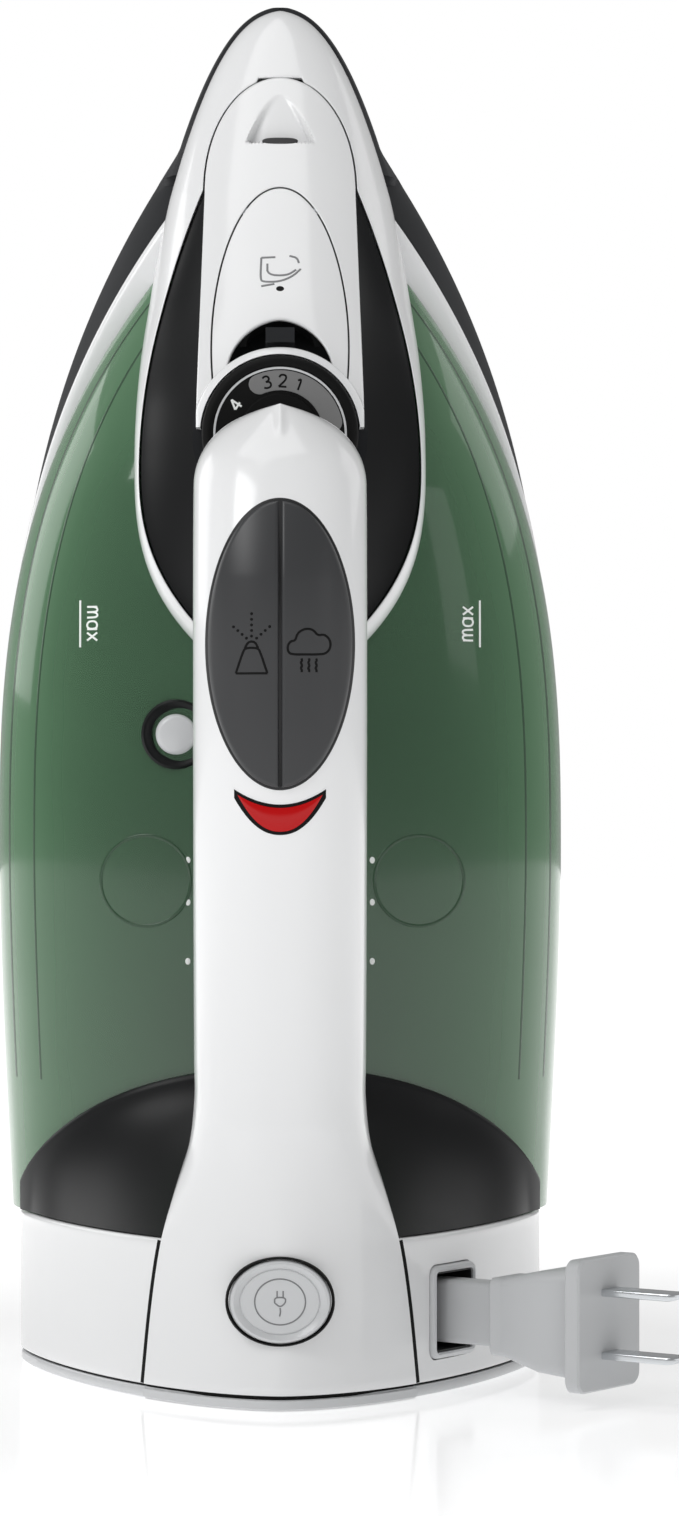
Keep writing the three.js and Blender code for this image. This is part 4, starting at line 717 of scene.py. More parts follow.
def door_half(z):
    """The filling door: 14.3 sqrt(1 - ((z - 218)/36)^2)."""
    return 14.3 * np.sqrt(np.maximum(0, 1 - ((z - 218) / (DOOR_TIP - 218)) ** 2))


def throat_half(z):
    """The arch at the door's rear: 11.2 dome((z - 209.8)/13.4, 2.2, 1.7)."""
    return 11.2 * dome(np.maximum(0, z - 209.8) / 13.4, 2.2, 1.7)


def scoop(x, z):
    """The spray scoop ahead of the slot: 3.6 deep at 265.6, running out at 277.5 under a pointed arch."""
    t = np.clip((z - 265.6) / 11.6, 0, 1)
    half = 7.6 * (1 - t) ** 0.62 + 0.01
    side = ease((half - np.abs(x)) / 1.4)
    return 3.6 * (1 - t) ** 1.1 * side * (z > 265.3)


def cover_top(x, z):
    """The nose cover follows the nose, 0.25 proud, with the spray scoop let into it."""
    return nose_h(x, z) + 0.25 - scoop(x, z)


def saddle_top(x, z):
    """The dark leaf, let down under the nose cover and round the dial."""
    level = saddle_h(x, z)
    covered = ease((cover_half(z) - 0.6 - np.abs(x)) / 0.8) * (z > 197)
    deep = np.minimum(85.5, nose_h(x, z) - 4.5)
    near = ease((19.0 - np.hypot(x, z - DIAL_Z)) / 0.8)
    floor = np.minimum(level, 87.6)
    level = level + (np.minimum(level, deep) - level) * covered
    return level + (np.minimum(floor, level) - level) * near


def ellipse_half(z, middle, half, long):
    """Half width of an ellipse with its length along z."""
    return half * np.sqrt(np.maximum(0, 1 - ((z - middle) / long) ** 2))


BUTTON = {"z": 153.5, "half": 14.3, "long": 28.3}


def button_h(x, z):
    """A thumb button: proud of the handle, dished behind a crease at 166.9 and falling ahead of it."""
    c = bpy.context.scene.iron_shape
    dish = np.sin(np.pi * np.clip((166.9 - z) / 42, 0, 1))
    return handle_shell_h(x, z) + (c.button_proud / MM) - 0.5 * dish - 0.05 * np.maximum(0, z - 166.9)


PLUG_TURN = math.radians(36)
PLUG_MOUTH = (35.5, -24.609, 16.8)


def plug_place(t, side, up):
    """Points in metres from the plug's own axes: t outwards from the pocket's mouth, side across, and
    up along z."""
    c, s = math.cos(PLUG_TURN), math.sin(PLUG_TURN)
    x = PLUG_MOUTH[0] + t * c + side * s
    y = PLUG_MOUTH[1] - t * s + side * c
    x, y, z = np.broadcast_arrays(x, y, PLUG_MOUTH[2] + up)
    return np.stack([x, y, z], axis=-1) * MM


def rounded_box_ring(wide, tall, r, corner=7):
    """Points round a rectangle with rounded corners: (side, up) pairs."""
    a = np.linspace(0, np.pi / 2, corner)
    rings = []
    for k, (sx, sz) in enumerate(((1, 1), (-1, 1), (-1, -1), (1, -1))):
        turn = a + k * np.pi / 2
        x = sx * (wide / 2 - r) + r * np.cos(turn)
        z = sz * (tall / 2 - r) + r * np.sin(turn)
        rings.append(np.stack([x, z], axis=1))
    return np.concatenate(rings)


def plug_sleeve(sections):
    """A body along the plug's axis through rounded rectangles, each (t, wide, tall, corner radius)."""
    rings = []
    for t, wide, tall, r in sections:
        ring = rounded_box_ring(wide, tall, r, 7)
        rings.append(plug_place(t, ring[:, 0], ring[:, 1]))
    return sleeve(np.stack(rings))


def tube_along(points, radius):
    """A round tube along a path of points in millimetres; each ring stands square to the path."""
    points = np.asarray(points, float)
    heading = np.gradient(points, axis=0)
    heading /= np.linalg.norm(heading, axis=1, keepdims=True)
    up = np.array([0.0, 0.0, 1.0])
    side = np.cross(heading, up)
    side /= np.maximum(np.linalg.norm(side, axis=1, keepdims=True), 1e-9)
    other = np.cross(heading, side)
    a = np.linspace(0, 2 * np.pi, 20, endpoint=False)[None, :, None]
    rings = points[:, None] + radius * (side[:, None] * np.cos(a) + other[:, None] * np.sin(a))
    return sleeve(rings * MM)


def heel_ring(inset):
    """The heel's outline in (x, h), drawn in by inset: the arch over the top, straight sides, and
    lower corners of radius 8."""
    w = HEEL_HALF - inset
    u = spans(110)
    top = np.stack([u * w, 50 + (79 - inset) * dome(u, 1.7, 1.3)], axis=1)
    low = 8 + inset
    a = np.linspace(0, np.pi / 2, 9)
    right = np.stack([w - 8 + 8 * np.cos(a), low + 8 - 8 * np.sin(a)], axis=1)
    side = np.stack([np.full(8, w), np.linspace(50, low + 8, 10)[1:-1]], axis=1)
    bottom = np.stack([np.linspace(w - 8, -w + 8, 14)[1:-1], np.full(12, low)], axis=1)
    left, left_side = right[::-1] * [-1, 1], side[::-1] * [-1, 1]
    return np.concatenate([top, side, right, bottom, left, left_side])


def heel_rings(steps):
    """Rings of the heel's outline at each (z, inset)."""
    return np.stack([place(r[:, 0], r[:, 1], z) for z, r in ((z, heel_ring(i)) for z, i in steps)])


def digit_paths(text, centre, size, turn=0.0):
    """Pen strokes of generic numbers and the letters of max, size tall, turned about their centre."""
    pen = {
        "1": ([[(0.08, 0.74), (0.34, 1.0), (0.34, 0.0)]], 0.45),
        "2": ([[(0.02, 0.76), (0.1, 0.94), (0.3, 1.0), (0.54, 0.94), (0.6, 0.72), (0.46, 0.46), (0.0, 0.0)],
               [(0.0, 0.0), (0.64, 0.0)]], 0.64),
        "3": ([[(0.04, 0.88), (0.2, 1.0), (0.46, 0.98), (0.58, 0.78), (0.48, 0.58), (0.24, 0.53)],
               [(0.24, 0.53), (0.52, 0.5), (0.64, 0.28), (0.54, 0.06), (0.28, 0.0), (0.0, 0.1)]], 0.64),
        "4": ([[(0.5, 0.0), (0.5, 1.0)], [(0.5, 1.0), (0.0, 0.3)], [(0.0, 0.3), (0.7, 0.3)]], 0.7),
        "m": ([[(0, 0), (0, 1)], [(0, 0.6), (0.08, 0.95), (0.34, 1.05), (0.5, 0.85), (0.52, 0.0)],
               [(0.52, 0.6), (0.6, 0.95), (0.86, 1.05), (1.02, 0.85), (1.04, 0.0)]], 1.04),
        "a": ([[(0.76, 0.5), (0.7, 0.9), (0.38, 1.02), (0.06, 0.85), (0.0, 0.5), (0.06, 0.14), (0.38, -0.02),
                (0.7, 0.1), (0.76, 0.5)],
               [(0.78, 1.0), (0.78, 0.0)]], 0.78),
        "x": ([[(0, 0), (0.76, 1)], [(0, 1), (0.76, 0)]], 0.76),
    }
    paths, pen_at = [], 0.0
    for letter in text:
        shapes, wide = pen[letter]
        paths += [np.array(s) + [pen_at, 0] for s in shapes]
        pen_at += wide + 0.34
    middle = np.array([(pen_at - 0.34) / 2, 0.5])
    c, s = math.cos(turn), math.sin(turn)
    return [(p - middle) @ np.array([[c, s], [-s, c]]) * size + centre for p in paths]


# ---------------------------------------------------------------- settings in the sidebar
def colour_property(name, description, value):
    """A colour that a user may change."""
    return bpy.props.FloatVectorProperty(
        name=name, description=description, subtype="COLOR", size=3, min=0, max=1, default=value
    )


class IronShape(bpy.types.PropertyGroup):
    """Small sizes of the visible pieces."""

    panel_roll: bpy.props.FloatProperty(
        name="Panel roll",
        description="Radius of the rounded edges of the white panels",
        default=0.0006,
        unit="LENGTH",
    )
    button_proud: bpy.props.FloatProperty(
        name="Button height",
        description="How far the thumb buttons stand above the handle",
        default=0.0012,
        unit="LENGTH",
    )
    line_width: bpy.props.FloatProperty(
        name="Symbol line",
        description="Width of the lines of the moulded symbols",
        default=0.00046,
        unit="LENGTH",
    )


class IronColours(bpy.types.PropertyGroup):
    """Colours of the finishes."""

    white: colour_property("White shell", "Gloss white of the nose, handle and heel", (0.82, 0.825, 0.83))
    charcoal: colour_property("Charcoal", "Skirt and grip", (0.02, 0.021, 0.023))
    black: colour_property("Black trim", "Leaf panels and rear saddle", (0.008, 0.0084, 0.009))
    button: colour_property("Buttons", "Thumb buttons", (0.034, 0.035, 0.037))
    green: colour_property("Tank", "Tinted clear tank", (0.048, 0.118, 0.06))
    grey: colour_property("Number band", "Grey of the dial's number band", (0.19, 0.19, 0.19))
    pale: colour_property("Pale caps", "Rewind and self-clean caps", (0.62, 0.63, 0.64))
    plug: colour_property("Plug", "Plug and cord", (0.56, 0.57, 0.58))
    lens: colour_property("Lamp lens", "Red lens of the heating lamp", (0.2, 0.001, 0.002))


# ---------------------------------------------------------------- the pieces
class IRON_OT_stage(bpy.types.Operator):
    """Pale floor, soft lights and the camera"""

    bl_idname = "iron.stage"
    bl_label = "Stage, lights and camera"

    def execute(self, context):
        scene = context.scene
        scene.view_settings.view_transform = "Standard"
        mesh = bpy.data.meshes.new("studio_floor")
        a = np.linspace(0, 2 * np.pi, 96, endpoint=False)
        rim = np.stack([4.0 * np.cos(a), 4.0 * np.sin(a), np.full(96, -0.0002)], axis=1)
        mesh.from_pydata(rim.tolist(), [], [list(range(96))])
        # Painted light: the floor glows on top of the light it takes from the lamps, weaker under the iron.
        floor = moulded(
            "studio floor", (0.9, 0.9, 0.905), 0.12, 0.01, 0.03, 40, 0.01, specular_ior_level=0.35,
            emission_strength=1.0,
        )
        self.paint_floor_glow(floor)
        mesh.materials.append(floor)
        ground = bpy.data.objects.new("studio_floor", mesh)
        scene.collection.objects.link(ground)
        self.light_world(scene)
        self.area("key_left", (-0.75, -0.75, 1.0), (0, 0, 0.2), 0.6, 5.5)
        self.area("fill_right", (1.3, -0.9, 0.5), (0, 0, 0.14), 0.5, 0.5)
        self.area("top_soft", (-0.15, -0.1, 1.3), (0, 0, 0.1), 0.8, 3.0)
        self.area("rim_left", (-0.9, 0.6, 0.5), (0, 0, 0.15), 0.6, 1.6)
        self.area("rim_right", (0.9, 0.6, 0.7), (0, 0, 0.15), 0.6, 0.8)
        lens = bpy.data.cameras.new("catalogue_camera")
        lens.sensor_fit = "AUTO"
        lens.sensor_width = 36
        lens.lens = 109.45
        lens.shift_x = 0.0392
        lens.clip_start = 0.05
        camera = bpy.data.objects.new("catalogue_camera", lens)
        camera.location = (0, -0.979, 0.131)
        camera.rotation_euler = (math.pi / 2, 0, 0)
        scene.collection.objects.link(camera)
        scene.camera = camera
        return {"FINISHED"}

    def light_world(self, scene):
        """A pale surround: white behind the iron, and dimmer where it lights it."""
        world = bpy.data.worlds.new("pale surround")
        world.use_nodes = True
        n, link = world.node_tree.nodes, world.node_tree.links
        ray = n.new("ShaderNodeLightPath")
        level = n.new("ShaderNodeMapRange")
        level.inputs["To Min"].default_value = 0.34
        level.inputs["To Max"].default_value = 1.0
        back = n["Background"]
        back.inputs["Color"].default_value = (1, 1, 1, 1)
        link.new(ray.outputs["Is Camera Ray"], level.inputs["Value"])
        link.new(level.outputs["Result"], back.inputs["Strength"])
        scene.world = world

    def paint_floor_glow(self, floor):
        """Painted light on the floor: an emitted glow of 0.42 under the iron, rising to white from half a
        metre away.
        """
        n, link = floor.node_tree.nodes, floor.node_tree.links
        where = n.new("ShaderNodeTexCoord")
        reach = n.new("ShaderNodeVectorMath")
        reach.operation = "LENGTH"
        glow = n.new("ShaderNodeMapRange")
        glow.inputs["From Min"].default_value = 0.12
        glow.inputs["From Max"].default_value = 0.55
        glow.inputs["To Min"].default_value = 0.42
        link.new(where.outputs["Object"], reach.inputs[0])
        link.new(reach.outputs["Value"], glow.inputs["Value"])
        link.new(glow.outputs["Result"], n["Principled BSDF"].inputs["Emission Color"])

    def area(self, name, where, at, size, power):
        """A soft square light at a place, turned to look at another."""
        data = bpy.data.lights.new(name, "AREA")
        data.size = size
        data.energy = power
        light = bpy.data.objects.new(name, data)
        light.location = where
        light.rotation_euler = (Vector(at) - Vector(where)).to_track_quat("-Z", "Y").to_euler()
        bpy.context.scene.collection.objects.link(light)


class IRON_OT_body(bpy.types.Operator):
    """Skirt, white band and the clear green tank"""

    bl_idname = "iron.body"
    bl_label = "Skirt, band and tank"

    def execute(self, context):
        self.skirt()
        self.band()
        self.tank()
        return {"FINISHED"}

    def skirt(self):
        """A wall carried round the iron's plan: it swells from its top edge at 27, or 1 under the nose's
        edge where that is lower, to a knee at 12 and tucks in to 5, with the same wall inside."""
        right = HEEL_DEPTH + SEAM + (LENGTH - HEEL_DEPTH - SEAM) * np.sin(np.pi / 2 * np.linspace(0, 1, 150))
        brim = np.minimum(27, nose_edge(right) - 1)[:, None]
        t = np.concatenate([np.linspace(0, 1, 12), np.ones(7)])
        levels = np.concatenate([brim - (brim - 12) * t[:12], np.linspace(12, 5, 8)[1:] + 0 * brim], axis=1)
        tuck = 2.5 * (np.maximum(0, 12 - levels) / 7) ** 1.6
        knee, top = skirt_half(right)[:, None], skirt_top_half(right)[:, None]
        outer = top + (knee - top) * np.sin(np.pi / 2 * t) - tuck - rounded_drop(brim - levels, 0.8)
        inner = np.maximum(outer[:, ::-1] - 2.3, 0)
        x = np.concatenate([outer, inner], axis=1)
        h = np.concatenate([levels, levels[:, ::-1]], axis=1)
        side = place(x, h, right[:, None])
        around = np.concatenate([side, side[::-1] * [-1, 1, 1]])
        make_piece("charcoal_skirt", sleeve(around), "iron", "charcoal_trim", finish("charcoal"), "skirt")

    def band(self):
        """The band's plan, flat at 38 with its edge rounded, down to 27.35."""
        zs = HEEL_DEPTH + SEAM + (278.7 - HEEL_DEPTH - SEAM) * np.sin(np.pi / 2 * np.linspace(0, 1, 120))
        grids = plan_skin(band_half, zs, 48, lambda x, z: 38 + 0 * x, 1.6, base=lambda x, z: 27.35 + 0 * x)
        make_piece("white_band", grids, "iron", "white_shell", finish("white"), "body_shell")

    def tank(self):
        """The tank's crown as a clear wall 2.3 thick."""
        zs = HEEL_DEPTH + SEAM + (265.2 - HEEL_DEPTH - SEAM) * np.sin(np.pi / 2 * np.linspace(0, 1, 130))
        z = zs[:, None] + np.zeros(97)
        half = np.maximum(tank_half(z), 0)
        x = half * spans(96)
        h = np.maximum(tank_h(x, z), 38.35)
        inner = np.maximum(half - 2.3, 0) * spans(96)
        low = np.maximum(tank_h(x, z) - 2.3, 38.35)
        make_piece(
            "clear_tank", slab(place(x, h, z), place(inner, low, z)), "iron", "clear_green", finish("green"),
            "water_tank",
        )


class IRON_OT_nose(bpy.types.Operator):
    """White nose, dark leaf panels, nose cover and spray slot"""

    bl_idname = "iron.nose"
    bl_label = "Nose and leaf panels"

    def execute(self, context):
        roll = context.scene.iron_shape.panel_roll / MM
        self.shell(roll)
        self.saddle()
        self.cover(roll)
        self.slot()
        return {"FINISHED"}

    def shell(self, roll):
        """A ring between the nose's outline and the opening for the leaf and the cover."""
        outer = even(outline(nose_half, 142.0, 298.5, 900), 300)

        def opening(z):
            return np.maximum(leaf_half(z), np.where(z > 198, cover_half(z), 0)) + SEAM

        zs = stations(144.5, 281.0, 900)
        inner = np.stack([np.where((zs > 144.5) & (zs < 281), opening(zs), 0), zs], axis=1)
        inner = even(inner, 300)
        ring = band(
            both_sides(outer)[:-1], both_sides(inner)[:-1], 26, nose_h, 3.0,
            roll_out=1.2, roll_in=roll, loop=True,
        )
        make_piece("white_nose", ring, "iron", "white_shell", finish("white"), "nose_shell")

    def saddle(self):
        """The dark leaf inside the nose."""
        zs = stations(144.7, 256.0, 170)
        grids = plan_skin(leaf_half, zs, 150, saddle_top, 0.35, thick=1.2)
        make_piece("dark_leaf", grids, "iron", "black_trim", finish("black"), "front_saddle")

    def cover(self, roll):
        """The nose cover: a band from the dial round the door, closed over the front."""
        outer = outline(cover_half, 204.2, 281.0, 900)
        zs = stations(204.2, DOOR_TIP + SEAM, 900)
        round_dial = np.sqrt(np.maximum(0, 18.5**2 - (zs - DIAL_Z) ** 2))
        grown = 14.65 * np.sqrt(np.maximum(0, 1 - ((zs - 218) / (DOOR_TIP + SEAM - 218)) ** 2))
        inner = np.stack([np.where(zs < 209.6, np.maximum(round_dial, grown), grown), zs], axis=1)
        outer, inner = both_sides(even(outer, 150)), both_sides(even(inner, 150))
        grids = band(outer, inner, 84, cover_top, 2.2, roll_out=roll, roll_in=0.35)
        make_piece("white_nose_cover", grids, "iron", "white_shell", finish("white"), "nose_cover")

    def slot(self):
        """Painted shade in the spray slot: a near-black flat oval across the foot of the scoop."""
        zs = stations(264.7, 266.2, 14)
        grids = plan_skin(
            lambda z: 3.9 * dome((z - 265.45) / 0.76, 2, 4), zs, 20,
            lambda x, z: nose_h(x, z) + 0.32, 0.15, thick=4.5,
        )
        make_piece("spray_slot_shade", grids, "iron", "black_trim", finish("dark"), "spray_nozzle")


class IRON_OT_door(bpy.types.Operator):
    """Filling door with its symbol"""

    bl_idname = "iron.door"
    bl_label = "Filling door"

    def execute(self, context):
        zs = stations(209.8, DOOR_TIP, 900)
        outer = np.stack([door_half(zs), zs], axis=1)
        rear = stations(209.8, 223.2, 900)
        inner = np.stack([throat_half(rear), rear], axis=1)
        outer, inner = both_sides(even(outer, 110)), both_sides(even(inner, 110))
        grids = band(outer, inner, 50, cover_top, 1.6, roll_out=0.35, roll_in=0.8)
        make_piece("filling_door", grids, "filling_door", "white_shell", finish("white"), "fill_door")
        width = context.scene.iron_shape.line_width / MM
        jug = [
            [(-4.0, 237.6), (-4.2, 232.6), (-3.6, 232.0), (-0.2, 232.0), (2.6, 233.2), (4.4, 235.0)],
            [(-4.0, 237.6), (-1.0, 237.7)],
            [(-2.7, 236.2), (-2.7, 233.6), (1.4, 233.4), (3.4, 234.8)],
            [(2.0, 238.0), (3.6, 237.6), (4.0, 236.4)],
            [(-4.0, 231.0), (-1.2, 231.5)],
        ]
        make_piece(
            "filling_symbol", strokes(jug, width, 0.14, cover_top),
            "filling_door", "pale_grey", finish("emboss"),
        )
        low, high = (np.array(p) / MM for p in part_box("fill_door_pin"))
        pin = np.linspace([-8.0, low[1], low[2]], [8.0, low[1], low[2]], 5)
        pin[:, 1:] = (low[1:] + high[1:]) / 2
        make_piece("door_pin", tube_along(pin, 1.2), "iron", "steel", finish("steel"), "fill_door_pin")
        make_piece(
            "filling_dot", disc((0.0, 230.4), 0.85, 0.08, cover_top, 0.7),
            "filling_door", "black_trim", finish("ink"),
        )
        return {"FINISHED"}


class IRON_OT_dial(bpy.types.Operator):
    """Temperature dial, its white bezel and numbers"""

    bl_idname = "iron.dial"
    bl_label = "Temperature dial"

    def execute(self, context):
        top = SOLE_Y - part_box("temperature_dial")[0][1] / MM
        a = np.radians(np.linspace(-85, 85, 160))
        reach = np.minimum(18.2, 17.45 / np.maximum(np.abs(np.sin(a)), 0.01))
        outer = np.stack([reach * np.sin(a), DIAL_Z + reach * np.cos(a)], axis=1)
        inner = np.stack([16.55 * np.sin(a), DIAL_Z + 16.55 * np.cos(a)], axis=1)

        def slope(x, z):
            return top - 1.6 - 1.9 * np.clip((np.hypot(x, z - DIAL_Z) - 16.55) / 1.65, 0, 1)

        bezel = band(outer, inner, 14, slope, 8.0, roll_out=0.5, roll_in=0.35)
        make_piece("white_bezel", bezel, "iron", "white_shell", finish("white"), "dial_bezel")
        body = lathe(
            (0, 0, DIAL_Z),
            [(16.2, top - 5), (16.2, top - 1.1), (15.9, top - 0.45), (15.3, top - 0.05),
             (14.7, top), (14.2, top - 0.1), (13.9, top - 0.45), (8.4, top - 0.45),
             (8.2, top - 0.2), (8.0, top), (0.0, top), (0.0, top - 5)],
            128,
        )
        make_piece("dial_body", body, "dial", "black_trim", finish("ink"), "temperature_dial")

        def face(x, z):
            return top - 0.45 + 0 * np.asarray(x)

        self.sector("dial_ring_line", 13.35, 13.8, -180, 180, face, "pale", 0.1)
        self.sector("dial_number_band", 8.95, 13.1, -34, 88, face, "grey", 0.14)
        width = 0.42
        numbers = (("4", -57, "white ink"), ("3", -14.5, "ink"), ("2", 3, "ink"), ("1", 20.5, "ink"))
        for text, turn, colour in numbers:
            angle = math.radians(turn)
            centre = (10.95 * math.sin(angle), DIAL_Z + 10.95 * math.cos(angle))
            grids = strokes(
                digit_paths(text, centre, 2.5, -angle), width, 0.06, lambda x, z: face(x, z) + 0.14
            )
            make_piece(f"dial_number_{text}", grids, "dial", "black_trim", finish(colour))
        return {"FINISHED"}

    def sector(self, name, r0, r1, start, end, face, colour, proud):
        """A flat raised band on the dial between two radii and two angles, with rounded ends."""
        whole = end - start >= 360
        a = np.radians(np.linspace(start, end, 180))[: -1 if whole else None]
        middle, half = (r0 + r1) / 2, (r1 - r0) / 2
        run = (a - a[0]) * middle, (a[-1] - a) * middle
        d = np.full(len(a), half) if whole else np.minimum(*run)
        wide = half * np.sqrt(np.maximum(0, 1 - (1 - np.minimum(d / half, 1)) ** 2))
        outer = np.stack([(middle + wide) * np.sin(a), DIAL_Z + (middle + wide) * np.cos(a)], axis=1)
        inner = np.stack([(middle - wide) * np.sin(a), DIAL_Z + (middle - wide) * np.cos(a)], axis=1)
        grids = band(outer, inner, 10, lambda x, z: face(x, z) + proud, 0.6, 0.04, 0.04, loop=whole)
        make_piece(name, grids, "dial", "pale_grey", finish(colour))


class IRON_OT_handle(bpy.types.Operator):
    """White handle shell, dark grip and front column"""

    bl_idname = "iron.handle"
    bl_label = "Handle"

    def execute(self, context):
        nose = 186 + 16 * np.sin(np.pi / 2 * np.linspace(0, 1, 30))
        zs = np.concatenate([np.linspace(2.9, 186, 190)[:-1], nose])
        z = zs[:, None] + np.zeros(97)
        half = handle_half(z)
        x = half * spans(96)
        h = handle_shell_h(x, z) - rounded_drop(z - 2.9, 0.6)
        low = np.where(z < 62, foot_base(z), parting(z))
        h = np.maximum(h, low + 0.05)
        grids = slab(place(x, h, z), place(x, low, z))
        make_piece("white_handle", grids, "iron", "white_shell", finish("white"), "handle_upper")
        self.grip()
        levels = np.linspace(78, 119, 12)
        profile = [(0.0, 78.0)] + [(13.4, v) for v in levels] + [(0.0, 119.0)]
        make_piece(
            "white_column", lathe((0, 0, 165), profile, 96, (1.0, 0.96)),
            "iron", "white_shell", finish("white"),
            "front_column",
        )
        return {"FINISHED"}

    def grip(self):
        """The dark grip: flat where it meets the shell, rounded below as 1 - dome(u, 3, 2)."""
        nose = 186 + 16 * np.sin(np.pi / 2 * np.linspace(0, 1, 24))
        zs = np.concatenate([np.linspace(62, 186, 120)[:-1], nose])
        z = zs[:, None] + np.zeros(49)
        u = spans(48)
        half = handle_half(z)
        high = parting(z) - SEAM
        under = grip_under(z)
        low = np.minimum(under + 0.9 * (high - under) * (1 - dome(u, 3, 2)), high - 0.3)
        inset = np.clip(half - 0.25, 0, None)
        grids = slab(place(inset * u, high, z), place(inset * u, low, z))
        make_piece("dark_grip", grids, "iron", "charcoal_trim", finish("grip"), "handle_lower")


class IRON_OT_buttons(bpy.types.Operator):
    """Spray and steam buttons with their symbols, and the lamp lens"""

    bl_idname = "iron.buttons"
    bl_label = "Buttons and lamp"

    def execute(self, context):
        mid, half, long = BUTTON["z"], BUTTON["half"], BUTTON["long"]
        zs = stations(mid - long - 0.55, mid + long + 0.55, 90)
        # Painted shade: a near-black plate 0.55 wider than the buttons, showing as a dark ring of shade in
        # the gap round them.
        painted_gap_shade = plan_skin(
            lambda z: ellipse_half(z, mid, half + 0.55, long + 0.55), zs, 40,
            lambda x, z: handle_shell_h(x, z) + 0.1, 0.1, thick=1.5,
        )
        make_piece("button_gap_shade", painted_gap_shade, "iron", "black_trim", finish("dark"))
        for side, body, node, name in (
            (-1, "spray_control", "spray_button", "spray_thumb"),
            (1, "steam_control", "steam_button", "steam_thumb"),
        ):
            zs = stations(mid - long + 0.05, mid + long - 0.05, 110)
            z = zs[:, None] + np.zeros(41)
            wide = np.maximum(ellipse_half(z, mid, half, long), 0.3)
            s = (1 - np.cos(np.pi * np.linspace(0, 1, 41))) / 2
            x = 0.22 + (wide - 0.22) * s
            d = np.minimum(edge_distance(x, wide, z), x - 0.22)
            h = button_h(x, z) - rounded_drop(d, 0.75)
            grids = slab(place(side * x, h, z), place(side * x, handle_h(x, z) - 2.0, z))
            make_piece(name, grids, body, "charcoal_trim", finish("button"), node)
        self.symbols(context)
        self.lamp()
        return {"FINISHED"}

    def symbols(self, context):
        """A spraying nozzle on the left button and a cloud with three wisps on the right one."""
        width = context.scene.iron_shape.line_width / MM
        nozzle = [
            [(-8.7, 147.6), (-7.3, 151.8), (-6.8, 152.6), (-4.4, 152.6), (-3.9, 151.8), (-2.5, 147.6)],
            [(-8.7, 147.6), (-2.5, 147.6)],
            [(-6.9, 152.5), (-6.4, 153.6), (-5.6, 153.9), (-4.8, 153.6), (-4.3, 152.5)],
        ]
        dots = [(-5.6, 154.9 + 1.1 * k) for k in range(5)]
        dots += [(-5.6 + side * (1.0 + 0.85 * k), 154.5 + 0.75 * k) for side in (-1, 1) for k in range(4)]
        grids = strokes(nozzle, width, 0.12, button_h)
        for dot in dots:
            grids += disc(dot, 0.3, 0.12, button_h, rings=3, around=10)
        make_piece("spray_symbol", grids, "spray_control", "black_trim", finish("ink"))
        cloud = [
            (2.9, 151.3), (1.7, 151.5), (1.4, 152.8), (2.0, 153.9), (3.0, 154.0), (3.4, 155.5), (4.9, 156.4),
            (6.5, 156.2), (7.4, 155.0), (8.7, 155.3), (9.8, 154.3), (10.0, 152.8),
            (9.2, 151.6), (7.9, 151.3), (2.9, 151.3),
        ]
        wisps = [
            [(4.2 + 1.45 * k + 0.16 * math.sin(2.2 * j), 150.5 - 0.38 * j) for j in range(8)]
            for k in range(3)
        ]
        grids = strokes([cloud] + wisps, width, 0.12, button_h)
        make_piece("steam_symbol", grids, "steam_control", "black_trim", finish("ink"))

    def lamp(self):
        """A crescent lens between two parabolas, in a dark rim with a white lip."""

        def crescent(grow, proud, crown, name, colour, slot_name, *nodes):
            x = (8.4 + grow) * spans(60)
            t = (x / 8.4) ** 2
            front = 121.2 + grow + 2.6 * t
            rear = 116.5 - grow + 7.3 * np.abs(x / (8.4 + grow)) ** 2.2
            rear = np.minimum(rear, front)
            s = (1 - np.cos(np.pi * np.linspace(0, 1, 15))) / 2
            xx = x[:, None] + np.zeros(15)
            z = rear[:, None] + (front - rear)[:, None] * s
            fullness = np.clip((front - rear) / 4.7, 0, 1)[:, None] ** 0.5
            swell = crown * np.sqrt(np.clip(4 * s * (1 - s), 0, 1)) * fullness
            h = handle_shell_h(xx, z) + proud + swell
            grids = slab(place(xx, h, z), place(xx, h - 2.2, z))
            make_piece(name, grids, "iron", slot_name, finish(colour), *nodes)

        crescent(0.95, 0.05, 0.0, "lamp_lip", "white", "white_shell")
        crescent(0.65, 0.1, 0.0, "lamp_rim", "ink", "black_trim")
        crescent(0.0, 0.12, 0.55, "lamp_lens", "lens", "red_lens", "indicator_lens")


